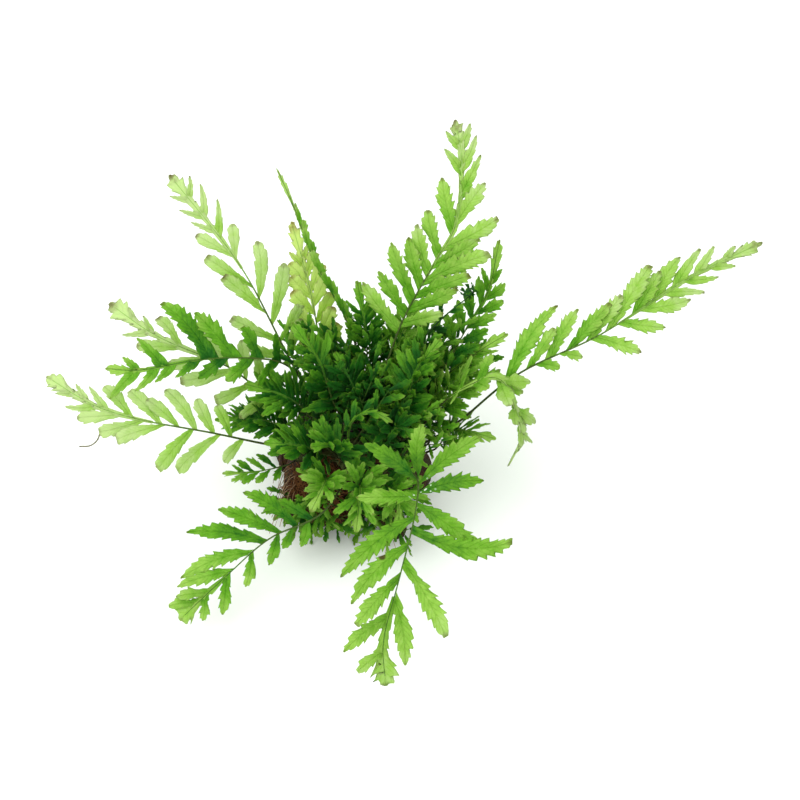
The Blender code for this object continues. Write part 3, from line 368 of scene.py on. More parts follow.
class Graph:
    """A material's nodes, added one by one."""

    def __init__(self, name: str) -> None:
        """Starts an empty material.

        Args:
            name: its name.
        """
        self.material = bpy.data.materials.new(name)
        self.material.use_nodes = True
        self.nodes = self.material.node_tree.nodes
        self.links = self.material.node_tree.links
        self.nodes.clear()

    def add(self, kind: str, inputs: dict | None = None, **settings: object) -> bpy.types.Node:
        """Adds a node.

        Args:
            kind: its type, without the usual prefix.
            inputs: value or socket for each of its inputs, by name or number.
            settings: values of its own properties.

        Returns:
            The node.
        """
        node = self.nodes.new("ShaderNode" + kind)
        for key, value in settings.items():
            setattr(node, key, value)
        for key, value in (inputs or {}).items():
            if isinstance(value, Socket):
                self.links.new(value, node.inputs[key])
            else:
                node.inputs[key].default_value = value
        return node

    def place(self) -> Socket:
        """The place on the object."""
        return self.add("TexCoord").outputs["Object"]

    def tone(self) -> Socket:
        """How light the green is at each corner."""
        return self.add("Attribute", attribute_name="tone").outputs["Fac"]

    def math(self, operation: str, *values: object) -> Socket:
        """The result of a Math node on values or sockets."""
        return self.add("Math", dict(enumerate(values)), operation=operation).outputs[0]

    def plus(self, value: Socket, other: Socket, amount: float) -> Socket:
        """The value plus an amount of the other one."""
        return self.math("ADD", value, self.math("MULTIPLY", other, amount))

    def varied(self, value: Socket, pattern: Socket, spread: float) -> Socket:
        """The value with a pattern around 0.5 laid over it."""
        return self.math("ADD", value, self.math("MULTIPLY_ADD", pattern, spread, -spread / 2))

    def between(self, value: Socket, low: float, high: float) -> Socket:
        """0 where the value is at low, 1 where it is at high, and even between them."""
        return self.add("MapRange", {"Value": value, "From Min": low, "From Max": high}).outputs[0]

    def ramp(self, factor: Socket, *stops: tuple) -> Socket:
        """Makes a colour ramp.

        Args:
            factor: runs through it.
            stops: each one's place and colour.

        Returns:
            Its colour.
        """
        node = self.add("ValToRGB", {"Fac": factor})
        while len(node.color_ramp.elements) < len(stops):
            node.color_ramp.elements.new(0.5)
        for element, (place, colour) in zip(node.color_ramp.elements, stops):
            element.position = place
            element.color = (*colour, 1.0)
        return node.outputs["Color"]

    def mix(self, factor: object, first: object, second: object) -> Socket:
        """Mixes two colours.

        Args:
            factor: the second one's share, a number or a socket.
            first: a colour or a socket.
            second: a colour or a socket.

        Returns:
            The mixed colour.
        """
        node = self.add("Mix", data_type="RGBA")
        for socket, value in zip((node.inputs[0], node.inputs[6], node.inputs[7]), (factor, first, second)):
            if isinstance(value, Socket):
                self.links.new(value, socket)
            elif isinstance(value, tuple):
                socket.default_value = (*value, 1.0)
            else:
                socket.default_value = value
        return node.outputs[2]

    def near(self, place: Socket, point: tuple, reach: float) -> Socket:
        """1 at a point of the object and 0 from the reach on."""
        away = self.add("VectorMath", {0: place, 1: point}, operation="DISTANCE").outputs["Value"]
        return self.between(away, reach, reach * 0.6)

    def noise(self, coordinates: Socket, scale: float, detail: float = 3.0) -> Socket:
        """The strength of a noise."""
        return self.add("TexNoise", {"Vector": coordinates, "Scale": scale, "Detail": detail}).outputs["Fac"]

    def bump(self, height: Socket, distance: float) -> Socket:
        """A normal that is bumped by a height."""
        return self.add("Bump", {"Height": height, "Distance": distance, "Strength": 1.0}).outputs["Normal"]

    def skin(self, colour: Socket, normal: Socket, finish: object) -> bpy.types.Node:
        """Adds the main shader.

        Args:
            colour: of the surface.
            normal: its bumped normal.
            finish: the finish whose roughness and gloss it takes.

        Returns:
            The shader's node.
        """
        shader = self.add("BsdfPrincipled", {"Base Color": colour, "Roughness": finish.roughness, "Normal": normal})
        shader.inputs["Specular IOR Level"].default_value = finish.specular
        return shader

    def finish(self, shader: bpy.types.Node) -> Material:
        """Ends the material in a shader."""
        self.add("OutputMaterial", {"Surface": shader.outputs[0]})
        return self.material


@dataclass(frozen=True)
class LeafFinish:
    """Thin living leaf, which lets light through."""

    name: str
    scorch: float = 0.25
    marked: bool = False
    # the darkest greens, which carry the painted shade of the inner crown
    dark: Colour = (0.003, 0.038, 0.004)
    deep: Colour = (0.014, 0.145, 0.008)
    fresh: Colour = (0.158, 0.425, 0.020)
    bright: Colour = (0.385, 0.620, 0.105)
    pale: Colour = (0.600, 0.735, 0.330)
    brown: Colour = (0.130, 0.068, 0.022)
    rim: Colour = (0.190, 0.150, 0.065)
    # near-white flecks that are painted highlights
    painted_glint: Colour = (0.850, 0.930, 0.800)
    spot: tuple = (0.0094, -0.1092, 0.0950)  # middle of the brown spot
    spot_reach: float = 0.0020
    painted_glint_middle: tuple = (0.0262, -0.0680, 0.0905)  # middle of the pale flecks, which are painted highlights
    painted_glint_reach: float = 0.0110
    painted_glint_scale: float = 480.0
    glow: Colour = (0.440, 0.820, 0.070)  # what light that passes through is tinted with
    glow_share: float = 0.24
    veins: float = 11.0  # how many side veins a blade has
    slant: float = 0.16  # how far they run ahead towards the margin
    relief: float = 0.00022
    roughness: float = 0.50
    specular: float = 0.22
    ior: float = 1.42
    through: float = 0.45  # share of the light that the surface passes on

    def build(self) -> Material:
        """Makes the material.

        Returns:
            The material.
        """
        graph = Graph(self.name)
        place = graph.place()
        flat = graph.add("SeparateXYZ", {"Vector": graph.add("UVMap").outputs["UV"]}).outputs
        along = flat["X"]
        aside = graph.math("ABSOLUTE", graph.math("MULTIPLY_ADD", flat["Y"], 2.0, -1.0))
        slanted = graph.math("MULTIPLY_ADD", aside, -self.slant, along)
        step = graph.math("FRACT", graph.math("MULTIPLY", slanted, self.veins))
        off = graph.math("ABSOLUTE", graph.math("SUBTRACT", step, 0.5))
        vein = graph.between(off, 0.36, 0.5)
        midrib = graph.between(aside, 0.10, 0.02)
        fine = graph.noise(place, 1400.0, 2.0)
        light = graph.varied(graph.tone(), graph.noise(place, 260.0), 0.34)
        light = graph.varied(light, fine, 0.14)
        for pattern, amount in ((vein, -0.05), (midrib, -0.04), (graph.between(aside, 0.5, 1.0), 0.06)):
            light = graph.plus(light, pattern, amount)
        green = graph.ramp(
            light, (0.10, self.dark), (0.30, self.deep), (0.52, self.fresh), (0.74, self.bright), (1.0, self.pale)
        )
        patchy = graph.between(graph.noise(place, 300.0), 0.3, 0.6)
        rim = graph.math("MULTIPLY", graph.between(aside, 0.88, 1.0), patchy)
        colour = graph.mix(graph.math("MULTIPLY", rim, self.scorch), green, self.rim)
        end = graph.between(along, 0.97 - 0.16 * self.scorch, 1.0)
        burnt = graph.math("MULTIPLY", end, graph.between(graph.noise(place, 420.0), 0.30, 0.60))
        colour = graph.mix(graph.math("MULTIPLY", burnt, min(self.scorch + 0.45, 1.0)), colour, self.brown)
        if self.marked:
            colour = graph.mix(graph.near(place, self.spot, self.spot_reach), colour, self.brown)
            # painted highlights: pale flecks around one place on the blade
            cell = graph.add("TexVoronoi", {"Vector": place, "Scale": self.painted_glint_scale}).outputs["Distance"]
            near_painted_glints = graph.near(place, self.painted_glint_middle, self.painted_glint_reach)
            dot = graph.math("MULTIPLY", graph.between(cell, 0.30, 0.20), near_painted_glints)
            colour = graph.mix(dot, colour, self.painted_glint)
        height = graph.plus(graph.math("MULTIPLY", vein, -0.6), fine, 0.5)
        height = graph.math("SUBTRACT", height, midrib)
        normal = graph.bump(height, self.relief)
        skin = graph.skin(colour, normal, self)
        skin.inputs["IOR"].default_value = self.ior
        glow = graph.mix(self.glow_share, colour, self.glow)
        passing = graph.add("BsdfTranslucent", {"Color": glow, "Normal": normal})
        return graph.finish(graph.add("MixShader", {0: self.through, 1: skin.outputs[0], 2: passing.outputs[0]}))


@dataclass(frozen=True)
class StalkFinish:
    """Wiry dark stems and ribs."""

    name: str = "stalk"
    foot: Colour = (0.026, 0.034, 0.008)
    middle: Colour = (0.060, 0.110, 0.016)
    tip: Colour = (0.260, 0.470, 0.090)
    relief: float = 0.00008
    roughness: float = 0.56
    specular: float = 0.12

    def build(self) -> Material:
        """Makes the material.

        Returns:
            The material.
        """
        graph = Graph(self.name)
        place = graph.place()
        light = graph.varied(graph.tone(), graph.noise(place, 500.0), 0.5)
        colour = graph.ramp(light, (0.15, self.foot), (0.48, self.middle), (0.82, self.tip))
        normal = graph.bump(graph.noise(place, 2600.0), self.relief)
        return graph.finish(graph.skin(colour, normal, self))


@dataclass(frozen=True)
class WoodFinish:
    """Waterlogged driftwood: dark, fibrous, with olive film in places."""

    name: str = "driftwood"
    dark: Colour = (0.007, 0.0035, 0.0015)
    middle: Colour = (0.028, 0.011, 0.0035)
    light: Colour = (0.095, 0.040, 0.013)
    film: Colour = (0.026, 0.042, 0.005)
    stretch: tuple = (0.16, 1.0, 1.0)  # draws the grain out along the wood
    relief: float = 0.0012
    roughness: float = 0.74
    specular: float = 0.12

    def build(self) -> Material:
        """Makes the material.

        Returns:
            The material.
        """
        graph = Graph(self.name)
        place = graph.place()
        drawn = graph.add("Mapping", {"Vector": place, "Scale": self.stretch}).outputs[0]
        grain = graph.noise(drawn, 900.0, 6.0)
        broad = graph.noise(drawn, 190.0, 4.0)
        light = graph.math("MULTIPLY_ADD", grain, 0.6, graph.math("MULTIPLY", broad, 0.45))
        bark = graph.ramp(light, (0.38, self.dark), (0.52, self.middle), (0.72, self.light))
        patch = graph.between(graph.noise(place, 70.0), 0.52, 0.66)
        colour = graph.mix(graph.math("MULTIPLY", patch, 0.7), bark, self.film)
        normal = graph.bump(graph.plus(grain, broad, 0.8), self.relief)
        return graph.finish(graph.skin(colour, normal, self))


@dataclass(frozen=True)
class FibreFinish:
    """Root felt, root threads and the scaly skin of the rhizomes."""

    name: str
    dark: Colour
    light: Colour
    scale: float = 1500.0
    relief: float = 0.0004
    roughness: float = 0.8
    specular: float = 0.12

    def build(self) -> Material:
        """Makes the material.

        Returns:
            The material.
        """
        graph = Graph(self.name)
        place = graph.place()
        mottle = graph.math("MULTIPLY", graph.noise(place, self.scale, 4.0), 0.7)
        broad = graph.math("MULTIPLY_ADD", graph.noise(place, 240.0), 0.4, mottle)
        colour = graph.ramp(broad, (0.42, self.dark), (0.70, self.light))
        normal = graph.bump(mottle, self.relief)
        return graph.finish(graph.skin(colour, normal, self))


@dataclass(frozen=True)
class FloorFinish:
    """The white table."""

    name: str = "white_floor"
    colour: Colour = (0.93, 0.95, 0.92)
    roughness: float = 0.6

    def build(self) -> Material:
        """Makes the material.

        Returns:
            The material.
        """
        graph = Graph(self.name)
        skin = graph.add("BsdfPrincipled", {"Base Color": (*self.colour, 1.0), "Roughness": self.roughness})
        return graph.finish(skin)


def smooth_path(points: list, count: int) -> list[Vector]:
    """Lays a smooth curve through the points.

    Args:
        points: the places that it passes.
        count: how many even steps it is cut into.

    Returns:
        count + 1 places along it.
    """
    knots = [Vector(p) for p in points]
    last = len(knots) - 1
    slopes = [(knots[min(i + 1, last)] - knots[max(i - 1, 0)]).normalized() for i in range(last + 1)]
    fine = []
    for i in range(last):
        span = (knots[i + 1] - knots[i]).length
        for k in range(CURVE_CUTS):
            t = k / CURVE_CUTS
            a = (1 + 2 * t) * (1 - t) ** 2
            b = t * (1 - t) ** 2 * span
            c = t * t * (3 - 2 * t)
            d = t * t * (t - 1) * span
            fine.append(knots[i] * a + slopes[i] * b + knots[i + 1] * c + slopes[i + 1] * d)
    fine.append(knots[-1])
    along = [0.0]
    for i in range(1, len(fine)):
        along.append(along[-1] + (fine[i] - fine[i - 1]).length)
    places = []
    i = 0
    for k in range(count + 1):
        wanted = along[-1] * k / count
        while i < len(fine) - 2 and along[i + 1] < wanted:
            i += 1
        share = (wanted - along[i]) / max(along[i + 1] - along[i], 1e-9)
        places.append(fine[i].lerp(fine[i + 1], min(max(share, 0.0), 1.0)))
    return places


def keyed(keys: tuple, t: float) -> float:
    """Reads a value that is eased from key to key.

    Args:
        keys: pairs of t and value, in order.
        t: where it is read.

    Returns:
        The value at t.
    """
    for (low, start), (high, end) in zip(keys, keys[1:]):
        if t <= high:
            step = min(max((t - low) / (high - low), 0.0), 1.0)
            return start + (end - start) * step * step * (3 - 2 * step)
    return keys[-1][1]


def as_piece(name: str, shape: Shape, surfaces: list[Material]) -> bpy.types.Object:
    """Makes the finished object of a shape and frees the shape.

    Args:
        name: the piece's name.
        shape: its geometry, in place.
        surfaces: its materials, by slot.

    Returns:
        The object, at the origin, with smooth faces.
    """
    for face in shape.faces:
        face.smooth = True
    mesh = bpy.data.meshes.new(name)
    shape.to_mesh(mesh)
    shape.free()
    for surface in surfaces:
        mesh.materials.append(surface)
    piece = bpy.data.objects.new(name, mesh)
    bpy.context.scene.collection.objects.link(piece)
    return piece


def merged_copy(node: str) -> Shape:
    """Copies a node's mesh and joins its loose triangles.

    Args:
        node: its name.

    Returns:
        The copy.
    """
    shape = bmesh.new()
    shape.from_mesh(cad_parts[node].data)
    bmesh.ops.remove_doubles(shape, verts=shape.verts, dist=SAME_PLACE)
    return shape


def search_tree(node: str) -> BVHTree:
    """Makes a search tree of a node's faces.

    Args:
        node: its name.

    Returns:
        The tree.
    """
    shape = merged_copy(node)
    tree = BVHTree.FromBMesh(shape)
    shape.free()
    return tree


def empty_shape() -> Shape:
    """Starts a shape with the values that the finishes read.

    Returns:
        The shape, empty.
    """
    shape = bmesh.new()
    shape.loops.layers.uv.new("UVMap")
    shape.verts.layers.float.new("tone")
    return shape


def take_in(shape: Shape, part: Shape) -> None:
    """Adds a part to a shape.

    Args:
        shape: gets the part.
        part: is used up.
    """
    mesh = bpy.data.meshes.new("part")
    part.to_mesh(mesh)
    part.free()
    shape.from_mesh(mesh)
    bpy.data.meshes.remove(mesh)


def sweep(shape: Shape, places: list[Vector], radii: list[float], sides: int, slot: int) -> None:
    """Adds a closed round tube: a circle that is extruded from place to place.

    Args:
        shape: gets the tube.
        places: the middle of the tube.
        radii: its radius at each place.
        sides: how many sides it has.
        slot: its material slot.
    """
    tube = empty_shape()
    tones = tube.verts.layers.float["tone"]
    across = None
    ring = []
    for k, (place, radius) in enumerate(zip(places, radii)):
        forward = (places[min(k + 1, len(places) - 1)] - places[max(k - 1, 0)]).normalized()
        if across is None:
            across = forward.orthogonal().normalized()
        across = (across - forward * across.dot(forward)).normalized()
        beside = forward.cross(across)
        if not ring:
            ring = bmesh.ops.create_circle(tube, segments=sides, radius=radius)["verts"]
            first = ring
        else:
            edges = [tube.edges.get((ring[i - 1], ring[i])) for i in range(sides)]
            made = bmesh.ops.extrude_edge_only(tube, edges=edges)["geom"]
            fresh = {v for v in made if isinstance(v, bmesh.types.BMVert)}
            ring = [next(e.other_vert(v) for e in v.link_edges if e.other_vert(v) in fresh) for v in ring]
        for i, vertex in enumerate(ring):
            angle = 2 * math.pi * i / sides
            vertex.co = place + across * (math.cos(angle) * radius) + beside * (math.sin(angle) * radius)
            vertex[tones] = k / len(places)
    for end in (first, ring):
        bmesh.ops.contextual_create(tube, geom=end)
    for face in tube.faces:
        face.material_index = slot
    bmesh.ops.recalc_face_normals(tube, faces=tube.faces)
    take_in(shape, tube)


class Course:
    """The way of one frond's stem and rib through space, as its solid has it."""

    def __init__(self, frond: Frond, middle: list[Vector]) -> None:
        """Finds the stem's foot on the rhizome.

        Args:
            frond: the frond.
            middle: the places along the middle of its rhizome.
        """
        exact = frond.place * (len(middle) - 1)
        i = min(int(exact), len(middle) - 2)
        start = middle[i].lerp(middle[i + 1], exact - i)
        along = (middle[i + 1] - middle[i]).normalized()
        outward = Vector(frond.path[0]) - start
        outward = (outward - along * outward.dot(along)).normalized()
        outward.z = max(outward.z, LEAST_RISE)
        outward = (outward - along * outward.dot(along)).normalized()
        foot = start + outward * (RHIZOME_RADIUS + FOOT_GAPS * GAP)
        self.frond = frond
        self.socket = start + outward * RHIZOME_RADIUS * SOCKET
        self.places = smooth_path([foot, foot + outward * STRAIGHT, *frond.path], COURSE_STEPS)
        self.length = sum((b - a).length for a, b in zip(self.places, self.places[1:]))
        heading = self.places[-1] - self.places[0]
        heading.z = 0.0
        self.side = heading.normalized().cross(UP)

    def at(self, share: float) -> Frame:
        """Finds how the rib stands at a place.

        Args:
            share: the place, as a share of the frond's length.

        Returns:
            The place and the forward, right and upward directions there.
        """
        exact = share * (len(self.places) - 1)
        i = min(int(exact), len(self.places) - 2)
        place = self.places[i].lerp(self.places[i + 1], exact - i)
        before = self.places[max(i - 1, 0)]
        after = self.places[min(i + 2, len(self.places) - 1)]
        forward = (after - before).normalized()
        right = (self.side - forward * self.side.dot(forward)).normalized()
        right = Matrix.Rotation(math.radians(self.frond.roll), 3, forward) @ right
        return place, forward, right, right.cross(forward)

    def first_share(self) -> float:
        """The share of the frond's length at its first leaflet."""
        return min(leaflet[0] for leaflet in self.frond.left + self.frond.right)

    def reach(self, leaflet: tuple, side: int, way: tuple) -> tuple[Frame, float]:
        """How a leaflet stands when it turns aside in one way.

        Args:
            leaflet: its values.
            side: -1 for the left of the rib and 1 for the right.
            way: the turn, as lift in degrees and share of its length.

        Returns:
            Its frame, as foot, direction, direction across and upward direction, and its length.
        """
        share = leaflet[0]
        first = self.first_share()
        past = (share - first) / (1 - first)
        place, forward, right, normal = self.at(share)
        spread = math.radians(leaflet[2])
        lift = leaflet[3] if len(leaflet) > 3 else self.frond.lift + (END_LIFT - self.frond.lift) * past
        lift = math.radians(lift + way[0])
        outward = right * side * math.cos(lift) + normal * math.sin(lift)
        reach = forward * math.cos(spread) + outward * math.sin(spread)
        tilt = math.radians(self.frond.tilt)
        facing = TO_LIGHT if self.frond.to_light else normal * math.cos(tilt) - forward * math.sin(tilt)
        upward = (facing - reach * facing.dot(reach)).normalized()
        across = facing.cross(reach).normalized()
        if across.dot(forward) < 0:
            across.negate()
        return (place + right * side * RIB_HALF, reach, across, upward), leaflet[1] * way[1]


class Perch:
    """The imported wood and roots, and the rhizomes as they lie on them."""

    def __init__(self) -> None:
        """Finds the middle of each rhizome by the rule that its solid was built by."""
        self.trees = [search_tree(node) for node in (*WOOD_NODES, "root_mat")]
        self.middles: dict[str, list[Vector]] = {}
        for name, line in RHIZOME_LINES.items():
            count = 3 * (len(line) - 1)
            flat = smooth_path([(x, y, 0.0) for x, y in line], count)
            places = [self.rest_above(p.x, p.y, RHIZOME_RADIUS * KNOB_ROOM) for p in flat]
            inner = [(places[i - 1].z + places[i].z * 2 + places[i + 1].z) / 4 for i in range(1, count)]
            for place, level in zip(places[1:-1], inner):
                place.z = max(place.z, level)
            self.middles[name] = places
            self.trees.append(search_tree(name))

    def rest_above(self, x: float, y: float, radius: float) -> Vector:
        """Rests a round on the wood.

        Args:
            x: where it is on the table.
            y: where it is on the table.
            radius: its radius.

        Returns:
            The lowest place over (x, y) where it clears every wood piece.
        """
        place = Vector((x, y, ABOVE_WOOD))
        heights = [tree.ray_cast(place, -UP)[0] for tree in self.trees]
        place.z = max((hit.z for hit in heights if hit), default=NO_WOOD) + radius + GAP
        while min(tree.find_nearest(place)[3] for tree in self.trees) < radius + GAP * WOOD_GAPS:
            place.z += LIFT_STEP
        return place

    def lit(self, x: float, y: float) -> tuple[Vector, Vector] | None:
        """Follows the light that would fall on a place of the table.

        Args:
            x: where that is on the table.
            y: where that is on the table.

        Returns:
            The place and the normal where it meets the wood or the roots, if it does.
        """
        start = Vector((x, y, 0.0)) + TO_LIGHT * LIGHT_START
        met = [tree.ray_cast(start, -TO_LIGHT)[:2] for tree in self.trees]
        met = [hit for hit in met if hit[0]]
        return max(met, key=lambda hit: hit[0].z) if met else None


@dataclass(frozen=True)
class BladeForm:
    """The shape of a leaflet's blade."""

    profile: tuple = (
        (0.0, 0.28), (0.12, 0.42), (0.28, 0.78), (0.45, 1.0), (0.60, 0.94), (0.76, 0.70), (0.89, 0.40), (0.97, 0.18),
        (1.0, 0.05),
    )  # share of its length, share of its half width
    tooth_start: float = 0.18  # share of its length at the first tooth
    tooth_span: float = 0.0042  # from tooth to tooth, in metres
    tooth_hook: float = 0.0013  # how far a tooth's point leans forward
    tooth_depth: float = 0.46  # as a share of the half width
    slant: float = 0.05  # how far the margin runs ahead of the midrib, as a share of the length
    thickness: float = 0.00028
    rows_per_tooth: int = 9
    least_rows: int = 18
    most_rows: int = 84
    columns: int = 8


SMOOTH_LEAFLET = BladeForm(
    profile=(
        (0.0, 0.30), (0.12, 0.46), (0.28, 0.72), (0.50, 0.98), (0.72, 1.0), (0.86, 0.84), (0.95, 0.54), (1.0, 0.14),
    ),
    tooth_span=0.0052, tooth_hook=0.0011, tooth_depth=0.24,
)
LOBE = BladeForm(
    profile=((0.0, 1.0), (0.35, 0.84), (0.70, 0.54), (0.90, 0.28), (1.0, 0.06)),
    tooth_start=0.3, tooth_span=0.0060, tooth_hook=0.0012, tooth_depth=0.26, slant=0.02,
)


@dataclass
class Blade:
    """One toothed blade: a grid that is laid along a spine and bent."""

    form: BladeForm
    length: float
    half: float  # half its greatest width
    dice: random.Random  # gives its own irregular shape

    def __post_init__(self) -> None:
        """Draws the blade's own bends and teeth."""
        dice = self.dice
        self.teeth = max(3, round(self.length * (1 - self.form.tooth_start) / self.form.tooth_span))
        self.starts = {-1: dice.uniform(0, 1), 1: dice.uniform(0, 1)}
        self.sizes = {side: [dice.uniform(0.25, 1.45) for _ in range(self.teeth + 3)] for side in (-1, 1)}
        self.camber = dice.uniform(-0.24, 0.05)
        self.crease = dice.uniform(0.10, 0.22)
        self.wave = dice.uniform(0.06, 0.20)
        self.wave_start = dice.uniform(0, 6.28)
        self.twist = math.radians(dice.uniform(-14, 14))
        self.curl = dice.uniform(-5.0, 2.0)
        self.bow = dice.uniform(-0.02, 0.06)
        self.shift = dice.uniform(0.86, 1.16)
        self.cut_off = dice.choice((1.0, 1.0, 0.94))  # less than 1 gives it a blunt end
        self.paling = dice.uniform(0.20, 0.36)  # how much paler its tip is than its foot

    def tooth(self, along: float, side: int) -> tuple[float, float]:
        """Finds the nearest tooth of the margin.

        Args:
            along: share of the length.
            side: -1 or 1, the margin that it is on.

        Returns:
            How far up the tooth the margin is, from 0 to 1, and the tooth's size.
        """
        start = self.form.tooth_start
        if along < start:
            return 1.0, 0.0
        exact = (along - start) / (1 - start) * self.teeth + self.starts[side]
        i = int(exact)
        step = exact - i
        rise = step / TOOTH_RISE if step < TOOTH_RISE else (1 - step) / TOOTH_FALL
        return rise, self.sizes[side][i]

    def lay(self, shape: Shape, spine: Callable[[float], Frame], tone: float, base: float) -> None:
        """Adds the blade to a shape.

        Args:
            shape: gets the grid.
            spine: gives the frame at a share of the length.
            tone: how light its green is.
            base: width of its base, as a share of its half width.
        """
        form = self.form
        rows = min(max(self.teeth * form.rows_per_tooth + 6, form.least_rows), form.most_rows)
        sheet = empty_shape()
        tones = sheet.verts.layers.float["tone"]
        bmesh.ops.create_grid(sheet, x_segments=rows, y_segments=form.columns, size=0.5, calc_uvs=True)
        stands: dict[float, Frame] = {}
        for vertex in sheet.verts:
            along = vertex.co.x + 0.5
            aside = vertex.co.y * 2
            side = 1 if aside > 0 else -1
            edge = abs(aside)
            if along not in stands:
                stands[along] = spine(along)
            place, forward, across, upward = stands[along]
            rise, size = self.tooth(along, side)
            outline = keyed(form.profile, (along * self.cut_off) ** self.shift)
            outline = max(outline, base * (1 - along) if along < 0.5 else 0.0)
            width = self.half * outline
            cut = form.tooth_depth * size * (1 - rise) * edge**3
            lean = form.slant * self.length * math.sin(math.pi * along) ** 0.8 * edge**1.2
            lean += form.tooth_hook * size * rise**2 * edge**4 * min(1.0, 4 * (1 - along))
            turn = self.twist * along
            level = across * math.cos(turn) + upward * math.sin(turn)
            above = upward * math.cos(turn) - across * math.sin(turn)
            height = width * (self.camber * edge**2 + self.crease * min(edge * 3, 1.0) * 0.5)
            height += width * self.wave * edge**2 * math.sin(self.wave_start + side * 1.3 + 11 * along)
            height += self.curl * (self.length * along) ** 2
            sideways = width * aside * (1 - cut) - self.bow * self.length * 4 * along * (1 - along)
            vertex.co = place + forward * lean + level * sideways + above * height
            vertex.co.z = max(vertex.co.z, OFF_FLOOR)
            vertex[tones] = tone + self.paling * (along - MIDDLE)
        take_in(shape, sheet)


def thickened(shape: Shape, thickness: float, surfaces: list[Material]) -> Shape:
    """Closes flat blades into thin leaves.

    Args:
        shape: the blades, which are used up.
        thickness: of a leaf.
        surfaces: its materials.

    Returns:
        The closed shape.
    """
    sheet = as_piece("sheet", shape, surfaces)
    wall = sheet.modifiers.new("wall", "SOLIDIFY")
    wall.thickness = thickness
    wall.offset = 0.0
    graph = bpy.context.evaluated_depsgraph_get()
    closed = bmesh.new()
    closed.from_mesh(sheet.evaluated_get(graph).data)
    bpy.data.objects.remove(sheet)
    return closed


